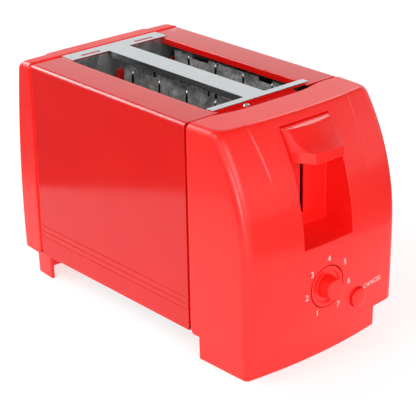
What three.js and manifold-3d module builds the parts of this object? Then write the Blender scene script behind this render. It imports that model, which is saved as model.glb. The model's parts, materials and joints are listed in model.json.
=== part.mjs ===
// Two slice pop-up toaster, in millimetres, +Z up.
// X runs along the bread slots and the lever end faces +X. The model is drawn about the middle of the
// steel wrap and then moved along X, so that the origin is the middle of the footprint on the worktop.
import * as THREE from 'three';
import { mergeVertices } from 'three/addons/utils/BufferGeometryUtils.js';
import { ConvexGeometry } from 'three/addons/geometries/ConvexGeometry.js';
import Module from 'manifold-3d';

const wasm = await Module();
wasm.setup();

// ---------------------------------------------------------------- driving dimensions
const clearance = 0.3;          // running gap between neighbouring pieces
const slideGap = 0.6;           // gap beside a piece that slides in a slot
const sheet = 1;                // steel sheet of wrap, base and chassis
const shellWall = 2.2;          // moulded wall of the end caps

const wrapLength = 173.6;
const wrapWidth = 144.2;
const wrapTop = 177.6;
const wrapBottom = 24;
const wrapCornerRadius = 3.2;
const wrapLip = 8;              // inward return along the bottom of the wrap
const slotFlange = 3.8;         // depth of the edges turned down beside the slots

const slotRearMargin = 13.6;    // from the ends of the wrap to the slots
const slotFrontMargin = 10.8;
const slotWidth = 33.8;
const centreBarWidth = 19.4;
const plateMargin = 1;          // overlap of the top plate on the wrap
const plateFrontInset = 1.8;
const plateRearProud = 1.4;
const plateThickness = 0.8;
const notchInset = 1.5;         // the wrap's cut-back front end stops inside the slots' outer edges
const barFlangeInset = 3;       // the turned-down edges of the centre bar stop this far from the slot ends
const slitLength = 17.5;        // fixing slits beyond the slots' ends
const slitWidth = 1.2;
const slitRearGap = 5;
const slitFromBar = 13.5;

const capGap = 2.6;             // open seam between wrap and end cap
const capProud = 0.9;           // how far the caps stand out beyond the wrap
const capRise = 0.8;            // how far they stand above it
const capBottom = 23.5;
const capFloor = 1.2;
const capTaper = 1.2;           // the sides draw in by this towards the face
const frontCornerRadius = 8;
const rearCornerRadius = 3;
const capTopRound = 5;         // rounding of the long top edges
const lipReach = 5.6;           // inner locating lip of the caps
const lipWall = 2;
const lipRoot = 7;              // how far the lip's root runs inside the cap
const lipRootWall = 3;
const lipFoot = 1;              // space under the lip, over the base plate
const innerWall = 2;            // walls and rims inside the caps

const frontCapDepth = 58;       // from the seam to the face at its corners
const frontBulge = 4.8;
const frontLeanHeight = 92.9;   // the front face is upright below this much of its top
const frontLean = 157.7;        // radius of the lean above
const frontRound = 6;
const frontTuck = 1.1;          // how far the foot of the face draws in
const rearCapDepth = 23.2;
const rearBulge = 0.9;
const rearLeanHeight = 118.4;
const rearLean = 850;
const rearRound = 9;
const rearTuck = 1;
const arcDepth = 5.2;           // curved relief in the top edge of the front cap
const arcMargin = 6.5;          // it runs this far past the slots' outer edges

const skirtSideInset = 7.5;
const skirtCornerRadius = 4;
const skirtWall = 3;
const frontSkirtInset = 10;
const rearSkirtInset = 3.4;

const recessDepth = 22.8;       // from the face's corners to the back wall of the lever recess
const recessHalfWidth = 23.2;
const recessTopDrop = 5.4;      // its top below the top of the cap
const recessSpare = 7.5;        // room under the knob when it is down
const recessRoof = 3;
const leverSlotWidth = 4;
const leverSlotUnder = 1.5;     // room below the arm when it is down
const leverSlotOver = 6;        // and above it when it is up

const leverTravel = 50;
const knobTopGap = 0.7;
const knobHeight = 21.8;
const knobNose = 27.4;          // reach of the knob's lip from the recess back
const knobPeak = 7.6;           // reach of its ridge at the top
const knobCheek = 12.4;         // reach of its straight sides
const knobTurn = 19;            // and of the sides that draw in
const knobTurnInset = 1.8;
const knobNoseShare = 0.6;      // width of the lip as a share of the knob's
const knobLipHeight = 5.5;
const knobLipLean = 1;
const armReach = 7;             // how far the arm runs into the knob
const armWidth = 3;
const armHeight = 8;
const armRise = 5.5;            // above the knob's lower edge

const dialY = -1.6;
const dialZ = 58;
const dialRadius = 15;
const dialGripRadius = 8.5;
const dialGripTaper = 1.5;      // the grip narrows towards its front
const dialGripLength = 7.8;
const dialFlange = 3;
const dialGrooveWidth = 3.7;
const dialGrooveDepth = 1.6;
const wellFloor = 3.6;          // depth of the dial's well below the face
const wellRim = 3;
const hubRadius = 4.6;
const hubLength = 8;
const shaftRadius = 3;

const buttonY = 29.8;
const buttonZ = 38.8;
const buttonRadius = 7.1;
const buttonProud = 3;
const buttonTravel = 2;
const buttonStemRadius = 3;
const buttonSkirt = 6;          // depth of the shoulder that keeps the button in
const buttonShoulder = 1.4;
const edgeBreak = 0.6;          // small bevel on the moulded controls

const chassisSideGap = 1.1;
const chassisTopGap = 0.4;
const boardDrop = 8.6;          // top edges of the boards below the chassis plates'
const boardThickness = 1;
const boardRearMargin = 5.2;    // from the slots' ends to the boards' shoulders
const boardFrontMargin = 6;
const outerBoardGap = 6.5;      // outer boards beyond the slots' outer edges
const ribbonWidth = 1.4;
const ribbonThickness = 0.3;
const ribbonRuns = 8;
const ribbonMargin = 8;
const ribbonBottom = 20;
const tabHeight = 16;           // tabs that seat the boards in the chassis plates
const tabLevels = [18, 96];
const boardNotches = [[-47, -28], [28, 43]];
const boardNotchDepth = 3;
const guardInnerGap = 0.7;      // guards beyond the edges of their slot
const guardOuterGap = 1.1;
const guardWireRadius = 0.8;
const guardEndMargin = 28.7;    // from the slots' ends to the first upright wire
const guardDrop = 7.2;
const guardFoot = 5;
const guardWires = 4;
const reflectorGap = 10;        // reflectors behind the outer boards
const reflectorDrop = 4;        // its top edge below the chassis plates'

const rackSpare = 8;            // between the lowered rack and the base plate
const rackHeight = 6;
const rackThickness = 1.6;
const rungSideGap = 4.4;        // from a rung's ends to the edges of its slot
const rungCount = 8;
const rungWidth = 2.4;
const rungThickness = 1.6;
const rungMargin = 7;           // from the slot's end to the first rung
const rackTail = 3;             // past the rear chassis plate
const bracketGap = 4.7;         // between front chassis plate and carriage bracket
const bracketThickness = 1.5;
const bracketMargin = 5;
const bracketLip = 2;           // of the bracket above and below the racks and over the keeper
const guideWidth = 12;          // sleeve plates that run on the guide rod
const guideHeight = 8;
const rodReach = 8;             // guide rod and spring in front of the bracket's back
const rodY = 14;
const rodRadius = 2.5;
const springY = -12;
const springRadius = 4;
const springWire = 0.7;
const springTurns = 11;
const springTabRise = 32;       // above the racks' lower edge
const presserY = 34.6;
const presserRise = 12;

const shelfZ = 28;              // lower shelf of the front chassis
const shelfReach = 28;
const shelfThickness = 1.5;
const shelfMargin = 4;
const railDrop = 7.2;           // upper shelf, which holds rod and spring, below the plate's top
const rodProud = 1;             // the rod's ends beyond the two shelves
const magnetY = -24;
const magnetReach = 12;
const magnetTop = 49.7;
const coreDepth = 14;
const coreWidth = 24;
const coreLimb = 3;             // thickness of its two outer limbs and its foot
const poleWidth = 6.4;
const coreFoot = 4;
const coilDepth = 19.2;
const coilDrop = 2.4;           // the coil's top below the pole faces
const keeperLength = 18.5;
const keeperWidth = 22;
const keeperThickness = 2;
const presserLength = 14.5;
const presserWidth = 12;
const presserHeight = 5;
const contactWidth = 14;
const contactHeight = 4;
const contactGap = 4;           // from the bracket's back to the contact block
const contactLength = 20;
const bladeReach = { rear: 8, front: 14 };
const bladeThickness = 0.8;
const bladeWidth = 10;
const pcbSetback = 20.4;        // circuit board behind the face's corners
const pcbThickness = 1.6;
const pcbBottom = 30;
const pcbTopGap = 4;            // under the floor of the lever recess
const pcbHalfWidth = 45;
const postY = 39;
const postDrop = 7;             // upper posts below the board's top edge
const lowPostZ = 36;
const postRadius = 3.6;
const pilotDepth = 12;
const potDepth = 7;
const potWidth = 16;
const potBelow = 8;
const potAbove = 10;
const switchDepth = 5;
const switchWidth = 8;
const capacitorPlace = [-26, 48];
const capacitorSize = [12, 18, 12];
const chipPlace = [14, 60];
const chipSize = [3, 8, 18];

const trayEndMargin = 25.3;     // from the ends of the wrap to the crumb tray
const hingeRadius = 2.1;
const hingePinRadius = 1.2;
const hingeDrop = 2.4;          // the hinge axis below the base plate
const lugY = 36;                // base plate's hinge lugs
const lugWidth = 4;
const knuckleY = 30;            // the tray's knuckles, inside the lugs
const knuckleWidth = 6;
const knuckleArm = 4;
const hingePinReach = 39;
const gripWidth = 24;           // folded finger grip of the tray
const gripThickness = 3;
const gripDrop = 4;
const baseTabWidth = 12;        // tabs of the base plate that take the cap screws
const baseTabReach = 5;
const bushY = 36;
const bushZ = 42;
const bushRadius = 6;
const bushProud = 1.9;          // its outer flange beyond the rear face
const bushFlange = 1.2;
const bushInnerFlange = 0.9;
const bushShoulder = 1.6;
const leadHoleRadius = 3.6;

const screwHead = 3.2;
const screwHeadHeight = 1.5;
const screwHeadRim = 0.8;
const screwCrossWidth = 0.8;
const screwCrossDepth = 0.6;
const screwShank = 1.6;
const screwLength = 4.1;
const boardScrewLength = 8;
const topScrewLength = 8;
const screwReach = 7.1;         // cap screws beyond the seam
const screwY = 46;
const topScrewReach = 0.6;      // beyond the end of the wrap
const topScrewHead = 2.4;
const topScrewY = -16.4;

// ---------------------------------------------------------------- worked out from them
const wrapHalfLength = wrapLength / 2;
const wrapHalfWidth = wrapWidth / 2;
const capEdge = wrapHalfLength + capGap;
const capHalfWidth = wrapHalfWidth + capProud;
const capTop = wrapTop + capRise;
const slotInnerY = centreBarWidth / 2;
const slotOuterY = slotInnerY + slotWidth;
const slotMiddleY = (slotInnerY + slotOuterY) / 2;
const slotRear = -wrapHalfLength + slotRearMargin;
const slotFront = wrapHalfLength - slotFrontMargin;
const slotLength = slotFront - slotRear;
const slotMiddleX = (slotRear + slotFront) / 2;
const plateFront = wrapHalfLength - plateFrontInset;
const plateRear = wrapHalfLength + plateRearProud;

const frontFace = capEdge + frontCapDepth;
const rearFace = capEdge + rearCapDepth;
const frontUpright = capTop - frontLeanHeight;
const rearUpright = capTop - rearLeanHeight;
const frontNose = frontFace + frontBulge;
const arcHalfWidth = slotOuterY + arcMargin;
const skirtHalfWidth = capHalfWidth - skirtSideInset;
const recessBack = frontFace - recessDepth;
const recessTop = capTop - recessTopDrop;
const knobTop = recessTop - knobTopGap;
const knobBottom = knobTop - knobHeight;
const recessFloor = knobBottom - leverTravel - recessSpare;
const armBottom = knobBottom + armRise;
const leverSlotBottom = armBottom - leverTravel - leverSlotUnder;
const leverSlotTop = armBottom + armHeight + leverSlotOver;
const wellBack = frontNose - wellFloor;
const dialPlace = wellBack + clearance;
const dialFront = dialPlace + dialFlange + dialGripLength;
const screwX = capEdge + screwReach;
const topScrewX = wrapHalfLength + topScrewReach;

const baseTop = wrapBottom + 2 * sheet;
const trayHalfLength = wrapHalfLength - trayEndMargin;
const trayHalfWidth = slotOuterY;
const hingeX = -trayHalfLength - hingeRadius;
const hingeZ = baseTop - sheet - hingeDrop;

const chassisHalfWidth = wrapHalfWidth - sheet - chassisSideGap;
const chassisTop = wrapTop - sheet - chassisTopGap;
const chassisRear = slotRear - plateMargin * 2 - sheet - clearance;
const chassisFront = slotFront + plateMargin * 2 + clearance;
const boardHeight = chassisTop - boardDrop - baseTop - clearance;
const boardRear = slotRear + boardRearMargin;
const boardFront = slotFront - boardFrontMargin;
const outerBoardY = slotOuterY + outerBoardGap;
const guardTop = chassisTop - guardDrop;
const guardPitch = (slotLength - 2 * guardEndMargin) / (guardWires - 1);
const reflectorY = outerBoardY + reflectorGap;
const shelfTop = shelfZ + shelfThickness;
const railZ = chassisTop - railDrop;

const rackBottom = baseTop + leverTravel + rackSpare;
const rackSlotBottom = rackBottom - leverTravel - slideGap;
const rackSlotTop = rackBottom + rackHeight + slideGap;
const rungLength = slotWidth - 2 * rungSideGap;
const bracketBack = chassisFront + sheet + bracketGap;
const bracketFront = bracketBack + bracketThickness;
const shelfFront = bracketBack + shelfReach;
const rodX = bracketBack + rodReach;
const springTabZ = rackBottom + springTabRise;
const presserZ = rackBottom + presserRise;
const magnetX = bracketBack + magnetReach;
const pcbBack = frontFace - pcbSetback;
const pcbFront = pcbBack + pcbThickness;
const pcbTop = recessFloor - innerWall - pcbTopGap;
const postZ = pcbTop - postDrop;
const boardPosts = [[-postY, postZ], [postY, postZ], [-postY, lowPostZ]];

// the overall length is centred on the origin
const rearMost = Math.max(rearFace + rearBulge, rearFace + bushProud);
const centreShift = (rearMost - dialFront) / 2;

// ---------------------------------------------------------------- colours
function paint(color, roughness, metalness) {
  return new THREE.MeshStandardMaterial({ color, roughness, metalness });
}
const redEnamel = paint(0xc8141a, 0.25, 0);
const redPlastic = paint(0xf02a28, 0.3, 0);
const brightSteel = paint(0xc6ccce, 0.35, 0.9);
const galvanised = paint(0x8c9092, 0.5, 0.8);
const mica = paint(0x6b665c, 0.7, 0);
const nichrome = paint(0x55504c, 0.5, 0.8);
const springSteel = paint(0x9a9c9e, 0.3, 0.9);
const copperEnamel = paint(0x9c4a20, 0.4, 0.5);
const phenolic = paint(0x8a6a3a, 0.6, 0);
const blackPlastic = paint(0x202124, 0.5, 0);
const whitePlastic = paint(0xd8d6cf, 0.5, 0);

// ---------------------------------------------------------------- solids
// turns that lay an outline's depth, or the axis of a turned piece, along +X
const depthToX = new THREE.Matrix4().makeBasis(
  new THREE.Vector3(0, 1, 0), new THREE.Vector3(0, 0, 1), new THREE.Vector3(1, 0, 0));
const axisToX = depthToX.clone().multiply(depthToX);

function solid(geometry) {
  const bare = geometry.clone();
  bare.deleteAttribute('normal');
  bare.deleteAttribute('uv');
  const merged = mergeVertices(bare, 1e-4);
  const mesh = new wasm.Mesh({
    numProp: 3,
    vertProperties: new Float32Array(merged.attributes.position.array),
    triVerts: new Uint32Array(merged.index.array),
  });
  return new wasm.Manifold(mesh);
}

function block(x0, x1, y0, y1, z0, z1) {
  const geometry = new THREE.BoxGeometry(x1 - x0, y1 - y0, z1 - z0);
  geometry.translate((x0 + x1) / 2, (y0 + y1) / 2, (z0 + z1) / 2);
  return solid(geometry);
}

// a round bar from one point to another
function bar(from, to, radius, sides = 16) {
  const start = new THREE.Vector3(...from);
  const along = new THREE.Vector3(...to).sub(start);
  const geometry = new THREE.CylinderGeometry(radius, radius, along.length(), sides);
  geometry.translate(0, along.length() / 2, 0);
  const turn = new THREE.Quaternion().setFromUnitVectors(new THREE.Vector3(0, 1, 0), along.normalize());
  geometry.applyQuaternion(turn);
  geometry.translate(start.x, start.y, start.z);
  return solid(geometry);
}

// a turned piece: pairs of radius and place along the X axis, from the back to the front
function turned(profile, sides = 28) {
  const points = profile.map(([radius, place]) => new THREE.Vector2(radius, place));
  const geometry = new THREE.LatheGeometry(points, sides);
  geometry.applyMatrix4(axisToX);
  return solid(geometry);
}

function plate(shape, depth, segments = 4) {
  return new THREE.ExtrudeGeometry(shape, { depth, bevelEnabled: false, curveSegments: segments });
}

// a YZ outline drawn out along X
function alongX(shape, x0, x1, segments) {
  const geometry = plate(shape, x1 - x0, segments);
  geometry.applyMatrix4(depthToX);
  geometry.translate(x0, 0, 0);
  return solid(geometry);
}

function polygon(points) {
  return new THREE.Shape(points.map(([x, y]) => new THREE.Vector2(x, y)));
}

// rings of equal length stacked into one closed body
function loft(rings) {
  const count = rings[0].length;
  const positions = [];
  const index = [];
  for (const ring of rings) {
    for (const point of ring) positions.push(point.x, point.y, point.z);
  }
  for (let level = 0; level + 1 < rings.length; level += 1) {
    for (let i = 0; i < count; i += 1) {
      const a = level * count + i;
      const b = level * count + (i + 1) % count;
      index.push(a, b, b + count, a, b + count, a + count);
    }
  }
  const outline = rings[0].map((point) => new THREE.Vector2(point.x, point.y));
  const last = (rings.length - 1) * count;
  for (const [a, b, c] of THREE.ShapeUtils.triangulateShape(outline, [])) {
    index.push(a, c, b, last + a, last + b, last + c);
  }
  const geometry = new THREE.BufferGeometry();
  geometry.setAttribute('position', new THREE.Float32BufferAttribute(positions, 3));
  geometry.setIndex(index);
  return solid(geometry);
}

function joined(first, ...others) {
  return others.reduce((whole, piece) => whole.add(piece), first);
}

function cut(first, ...others) {
  return others.reduce((whole, piece) => whole.subtract(piece), first);
}

const toaster = new THREE.Group();
toaster.position.x = centreShift;

function add(name, piece, material, position = [0, 0, 0], turn = 0) {
  const { vertProperties, triVerts } = piece.getMesh();
  const geometry = new THREE.BufferGeometry();
  geometry.setAttribute('position', new THREE.Float32BufferAttribute(vertProperties, 3));
  geometry.setIndex(new THREE.BufferAttribute(triVerts, 1));
  geometry.computeVertexNormals();
  const mesh = new THREE.Mesh(geometry, material);
  mesh.name = name;
  mesh.position.set(...position);
  mesh.rotation.z = turn;
  toaster.add(mesh);
}

// ---------------------------------------------------------------- steel body
function wrapOutline(inset) {
  const half = wrapHalfWidth - inset;
  const top = wrapTop - inset;
  const radius = wrapCornerRadius - inset;
  const shape = new THREE.Shape();
  shape.moveTo(-half, wrapBottom + inset);
  shape.lineTo(half, wrapBottom + inset);
  shape.lineTo(half, top - radius);
  shape.absarc(half - radius, top - radius, radius, 0, Math.PI / 2, false);
  shape.lineTo(-half + radius, top);
  shape.absarc(-half + radius, top - radius, radius, Math.PI / 2, Math.PI, false);
  return shape;
}

function bodyWrap() {
  const outer = alongX(wrapOutline(0), -wrapHalfLength, wrapHalfLength);
  const inner = alongX(wrapOutline(sheet), -wrapHalfLength - 1, wrapHalfLength + 1);
  const openUnder = block(-wrapHalfLength - 1, wrapHalfLength + 1,
    -wrapHalfWidth + wrapLip, wrapHalfWidth - wrapLip, wrapBottom - 1, wrapBottom + 2 * sheet);
  const front = slotFront + 2 * plateMargin;
  const rear = slotRear - 2 * plateMargin;
  const opening = block(rear, front, -slotOuterY, slotOuterY, wrapTop - 2 * sheet, wrapTop + 1);
  const notchHalf = slotOuterY - notchInset;
  const notch = block(plateFront - plateMargin, wrapHalfLength + 1, -notchHalf, notchHalf,
    wrapTop - 2 * sheet, wrapTop + 1);
  let wrap = cut(outer, inner, openUnder, opening, notch);
  for (const side of [-1, 1]) {
    const edge = side * slotOuterY;
    const back = edge + side * plateThickness;
    wrap = wrap.add(block(rear, front, Math.min(edge, back), Math.max(edge, back),
      wrapTop - slotFlange, wrapTop - sheet / 2));
  }
  return wrap;
}

function topPlate() {
  const top = wrapTop + plateThickness;
  const half = slotOuterY + plateMargin;
  let piece = block(-plateRear, plateFront, -half, half, wrapTop, top);
  for (const side of [-1, 1]) {
    const near = Math.min(side * slotInnerY, side * (half + 1));
    const far = Math.max(side * slotInnerY, side * (half + 1));
    piece = piece.subtract(block(slotRear, slotFront, near, far, wrapTop - 1, top + 1));
    const edge = side * slotInnerY;
    const inside = edge - side * plateThickness;
    piece = piece.add(block(slotRear + barFlangeInset, slotFront - barFlangeInset, Math.min(edge, inside),
      Math.max(edge, inside), wrapTop - slotFlange, wrapTop + plateThickness / 2));
    const slit = slotRear - slitRearGap;
    const middle = side * (slotInnerY + slitFromBar);
    piece = piece.subtract(block(slit, slit + slitWidth, middle - slitLength / 2, middle + slitLength / 2,
      wrapTop - 1, top + 1));
  }
  return piece;
}

function hingeBore() {
  const reach = lugY + lugWidth;
  return bar([hingeX, -reach, hingeZ], [hingeX, reach, hingeZ], hingePinRadius + clearance);
}

function basePlate() {
  const half = wrapHalfWidth - sheet - clearance;
  const bottom = baseTop - sheet;
  const trayGapX = trayHalfLength + clearance;
  const trayGapY = trayHalfWidth + clearance;
  let piece = block(-wrapHalfLength, wrapHalfLength, -half, half, bottom, baseTop);
  piece = piece.subtract(block(-trayGapX, trayGapX, -trayGapY, trayGapY, bottom - 1, baseTop + 1));
  for (const side of [-1, 1]) {
    const tabY = side * screwY;
    for (const end of [-1, 1]) {
      const root = end * (wrapHalfLength - 1);
      const tip = end * (screwX + baseTabReach);
      piece = piece.add(block(Math.min(root, tip), Math.max(root, tip), tabY - baseTabWidth / 2,
        tabY + baseTabWidth / 2, bottom, baseTop));
      piece = piece.subtract(bar([end * screwX, tabY, bottom - 1], [end * screwX, tabY, baseTop + 1],
        screwShank + clearance));
    }
    piece = piece.add(block(hingeX - hingeRadius, -trayGapX, side * lugY - lugWidth / 2,
      side * lugY + lugWidth / 2, hingeZ - hingeRadius, baseTop));
  }
  return piece.subtract(hingeBore());
}

function crumbTray() {
  const bottom = baseTop - sheet;
  const middle = bottom + sheet / 2;
  const armEnd = -trayHalfLength + knuckleArm;
  let piece = block(-trayHalfLength, trayHalfLength, -trayHalfWidth, trayHalfWidth, bottom, baseTop);
  piece = piece.add(block(trayHalfLength - gripThickness, trayHalfLength, -gripWidth / 2, gripWidth / 2,
    bottom - gripDrop, middle));
  for (const side of [-1, 1]) {
    const near = side * knuckleY - knuckleWidth / 2;
    const far = side * knuckleY + knuckleWidth / 2;
    piece = joined(piece, bar([hingeX, near, hingeZ], [hingeX, far, hingeZ], hingeRadius),
      block(hingeX, armEnd, near, far, hingeZ - sheet / 2, bottom - clearance),
      block(-trayHalfLength, armEnd, near, far, hingeZ, middle));
  }
  return piece.subtract(hingeBore());
}

// ---------------------------------------------------------------- end caps
// one level of a cap seen from above: straight edge, drawn-in sides, round corners and a bowed face
function capRing(z, edge, face, half, bulge, radius) {
  const ring = [new THREE.Vector3(edge, -half, z)];
  const inner = half - capTaper;
  const middle = inner - radius;
  const bow = (y) => bulge * (1 - (y / inner) ** 2);
  const cornerSteps = 4;
  const faceSteps = 8;
  const corner = face + bow(middle) - radius;
  for (let i = 0; i <= cornerSteps; i += 1) {
    const angle = -Math.PI / 2 + (Math.PI / 2) * (i / cornerSteps);
    ring.push(new THREE.Vector3(corner + radius * Math.cos(angle), -middle + radius * Math.sin(angle), z));
  }
  for (let i = 1; i < faceSteps; i += 1) {
    const y = -middle + 2 * middle * (i / faceSteps);
    ring.push(new THREE.Vector3(face + bow(y), y, z));
  }
  for (let i = 0; i <= cornerSteps; i += 1) {
    const angle = (Math.PI / 2) * (i / cornerSteps);
    ring.push(new THREE.Vector3(corner + radius * Math.cos(angle), middle + radius * Math.sin(angle), z));
  }
  ring.push(new THREE.Vector3(edge, half, z));
  return ring;
}

// the face of a cap at a height: tucked in a little at the foot, upright, then leaning back
function faceAt(z, cap) {
  if (z < cap.upright) {
    const depth = (cap.upright - z) / (cap.upright - capBottom);
    return cap.face - cap.tuck * depth * depth;
  }
  const rise = z - cap.upright;
  return cap.face - cap.lean + Math.sqrt(cap.lean ** 2 - rise ** 2);
}

function capBody(cap, inset, edge, bottom) {
  const top = capTop - inset;
  const round = cap.round - inset;
  const shoulder = top - round;
  const half = capHalfWidth - inset;
  const rings = [];
  const levels = 9;
  for (let i = 0; i <= levels; i += 1) {
    const z = bottom + (shoulder - bottom) * (i / levels);
    rings.push(capRing(z, edge, faceAt(z, cap) - inset, half, cap.bulge, cap.corner - inset));
  }
  const face = faceAt(shoulder, cap) - inset;
  const roundSteps = 4;
  for (let i = 1; i <= roundSteps; i += 1) {
    const angle = (Math.PI / 2) * (i / roundSteps);
    const z = shoulder + round * Math.sin(angle);
    const side = Math.min(capTopRound, Math.max(0, z - (top - capTopRound)));
    const draw = capTopRound - Math.sqrt(capTopRound ** 2 - side ** 2);
    rings.push(capRing(z, edge, face - round * (1 - Math.cos(angle)), half - draw, cap.bulge,
      cap.corner - inset));
  }
  return loft(rings);
}

// the section of an upside-down channel, with its outer corners cut off
function invertedU(half, top, wall, bottom) {
  const corner = wrapCornerRadius - sheet;
  const inner = half - wall;
  return polygon([[-half, bottom], [-inner, bottom], [-inner, top - wall], [inner, top - wall],
    [inner, bottom], [half, bottom], [half, top - corner], [half - corner, top], [-half + corner, top],
    [-half, top - corner]]);
}

function capShell(cap) {
  const outer = capBody(cap, 0, capEdge, capBottom);
  const cavity = capBody(cap, shellWall, capEdge - 1, capBottom + capFloor);
  const skirtFace = cap.face - cap.skirtInset;
  const skirt = [0, capBottom + capFloor / 2].map((z) =>
    capRing(z, capEdge, skirtFace, skirtHalfWidth, cap.bulge, skirtCornerRadius));
  const hollow = [-1, capBottom + capFloor].map((z) =>
    capRing(z, capEdge - 1, skirtFace - skirtWall, skirtHalfWidth - skirtWall, cap.bulge,
      skirtCornerRadius - skirtWall));
  const lipHalf = wrapHalfWidth - sheet - clearance;
  const lipTop = wrapTop - sheet - slideGap;
  const lipBottom = baseTop + lipFoot;
  const start = capEdge - lipReach;
  const lip = alongX(invertedU(lipHalf, lipTop, lipWall, lipBottom), start, capEdge + lipWall);
  const root = alongX(invertedU(lipHalf + shellWall / 2, lipTop + shellWall / 2, lipRootWall, lipBottom),
    capEdge + sheet / 2, capEdge + lipRoot);
  const shell = cut(outer, cavity).add(cut(loft(skirt), loft(hollow)));
  const within = capBody(cap, shellWall / 2, capEdge, capBottom + capFloor / 2);
  let whole = joined(shell, lip, root.intersect(within));
  for (const side of [-1, 1]) {
    whole = whole.subtract(bar([screwX, side * screwY, capBottom - 1],
      [screwX, side * screwY, capBottom + capFloor + 1], screwShank + clearance));
  }
  return { whole, within };
}

const frontCap = {
  face: frontFace, bulge: frontBulge, upright: frontUpright, lean: frontLean, round: frontRound,
  tuck: frontTuck, skirtInset: frontSkirtInset, corner: frontCornerRadius,
};
const rearCap = {
  face: rearFace, bulge: rearBulge, upright: rearUpright, lean: rearLean, round: rearRound,
  tuck: rearTuck, skirtInset: rearSkirtInset, corner: rearCornerRadius,
};

function frontEndCap() {
  const { whole, within } = capShell(frontCap);
  const far = dialFront;
  const wall = innerWall;
  const housing = block(recessBack - wall, far, -recessHalfWidth - wall, recessHalfWidth + wall,
    recessFloor - wall, recessTop + recessRoof).intersect(within);
  const recess = block(recessBack, far, -recessHalfWidth, recessHalfWidth, recessFloor, recessTop);
  const leverSlot = block(recessBack - wall - 1, recessBack + 1, -leverSlotWidth / 2, leverSlotWidth / 2,
    leverSlotBottom, leverSlotTop);
  const reliefEdge = [[capEdge - 1, arcHalfWidth], [capEdge - 1, -arcHalfWidth]];
  const reliefSteps = 16;
  for (let i = 0; i <= reliefSteps; i += 1) {
    const share = 2 * i / reliefSteps - 1;
    reliefEdge.push([capEdge + arcDepth * (1 - share ** 4), arcHalfWidth * share]);
  }
  const relief = solid(plate(polygon(reliefEdge), capRise + 3)).translate([0, 0, wrapTop - sheet - slideGap]);
  const wellBlock = bar([wellBack - wall, dialY, dialZ], [far, dialY, dialZ], dialRadius + wellRim, 32)
    .intersect(within);
  const well = bar([wellBack, dialY, dialZ], [far, dialY, dialZ], dialRadius + slideGap, 32);
  const hubHole = bar([wellBack - wall - 1, dialY, dialZ], [far, dialY, dialZ], hubRadius + clearance, 20);
  const buttonHole = bar([frontFace - 4 * shellWall, buttonY, buttonZ], [far, buttonY, buttonZ],
    buttonRadius + clearance, 28);
  let piece = joined(whole, housing, wellBlock);
  for (const [y, z] of boardPosts) {
    const post = bar([pcbFront, y, z], [frontNose, y, z], postRadius, 12);
    piece = piece.add(post.intersect(within));
    piece = piece.subtract(bar([pcbBack, y, z], [pcbBack + pilotDepth, y, z], screwShank + clearance, 12));
  }
  piece = cut(piece, recess, leverSlot, relief, well, hubHole, buttonHole);
  return piece.subtract(bar([topScrewX, topScrewY, railZ], [topScrewX, topScrewY, wrapTop],
    screwShank + clearance, 12));
}

function rearEndCap() {
  const { whole } = capShell(rearCap);
  const reach = 4 * shellWall;
  return whole.subtract(bar([rearFace - reach, bushY, bushZ], [rearFace + reach, bushY, bushZ],
    bushRadius + clearance, 20));
}

// ---------------------------------------------------------------- chassis, elements and guards
function chassisPlate(back) {
  const half = chassisHalfWidth;
  let piece = block(back, back + sheet, -half, half, baseTop, chassisTop);
  for (const side of [-1, 1]) {
    const y = side * slotMiddleY;
    const slot = rackThickness / 2 + slideGap;
    piece = piece.subtract(block(back - 1, back + sheet + 1, y - slot, y + slot, rackSlotBottom,
      rackSlotTop));
  }
  return piece;
}

function frontChassis() {
  const face = chassisFront + sheet / 2;
  const shelf = block(face, shelfFront, magnetY - coreWidth / 2 - shelfMargin,
    presserY + contactWidth / 2 + shelfMargin, shelfZ, shelfTop);
  const rail = block(face, rodX + rodRadius + shelfMargin, topScrewY - shelfMargin,
    rodY + rodRadius + shelfMargin, railZ, railZ + shelfThickness);
  const top = railZ + 2 * shelfThickness;
  const rodHole = bar([rodX, rodY, shelfZ - 1], [rodX, rodY, top], rodRadius + clearance);
  const screwHole = bar([topScrewX, topScrewY, railZ - 1], [topScrewX, topScrewY, top],
    screwShank + clearance, 12);
  return cut(joined(chassisPlate(chassisFront), shelf, rail), rodHole, screwHole);
}

function elementBoard() {
  const tabFront = chassisFront - clearance;
  const tabRear = chassisRear + sheet + clearance;
  const half = boardThickness / 2;
  let board = block(boardRear, boardFront, -half, half, 0, boardHeight);
  for (const z of tabLevels) board = board.add(block(tabRear, tabFront, -half, half, z, z + tabHeight));
  for (const [start, end] of boardNotches) {
    board = board.subtract(block(start, end, -boardThickness, boardThickness,
      boardHeight - boardNotchDepth, boardHeight + 1));
  }
  return board;
}

// one flat ribbon folded up and down the face of a board
function heatingRibbon() {
  const rear = boardRear + ribbonMargin;
  const front = boardFront - ribbonMargin;
  const pitch = (boardHeight - 2 * ribbonBottom) / ribbonRuns;
  const pieces = [];
  for (let run = 0; run < ribbonRuns; run += 1) {
    const z = ribbonBottom + run * pitch;
    pieces.push(block(rear, front, 0, ribbonThickness, z, z + ribbonWidth));
    if (run + 1 < ribbonRuns) {
      const x = run % 2 ? rear : front - ribbonWidth;
      pieces.push(block(x, x + ribbonWidth, 0, ribbonThickness, z, z + pitch + ribbonWidth));
    }
  }
  return joined(...pieces);
}

function wireGuard() {
  const rear = chassisRear + sheet + clearance;
  const front = chassisFront - clearance;
  const low = baseTop + guardFoot;
  const pieces = [];
  for (const z of [low, (low + guardTop) / 2]) {
    pieces.push(bar([rear, 0, z], [front, 0, z], guardWireRadius, 6));
  }
  for (let i = 0; i < guardWires; i += 1) {
    const x = slotMiddleX + (i - (guardWires - 1) / 2) * guardPitch;
    pieces.push(bar([x, 0, low], [x, 0, guardTop], guardWireRadius, 6));
  }
  return joined(...pieces);
}

function reflector() {
  return block(chassisRear + sheet + clearance, chassisFront - clearance, 0, plateThickness,
    baseTop, chassisTop - reflectorDrop);
}

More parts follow.
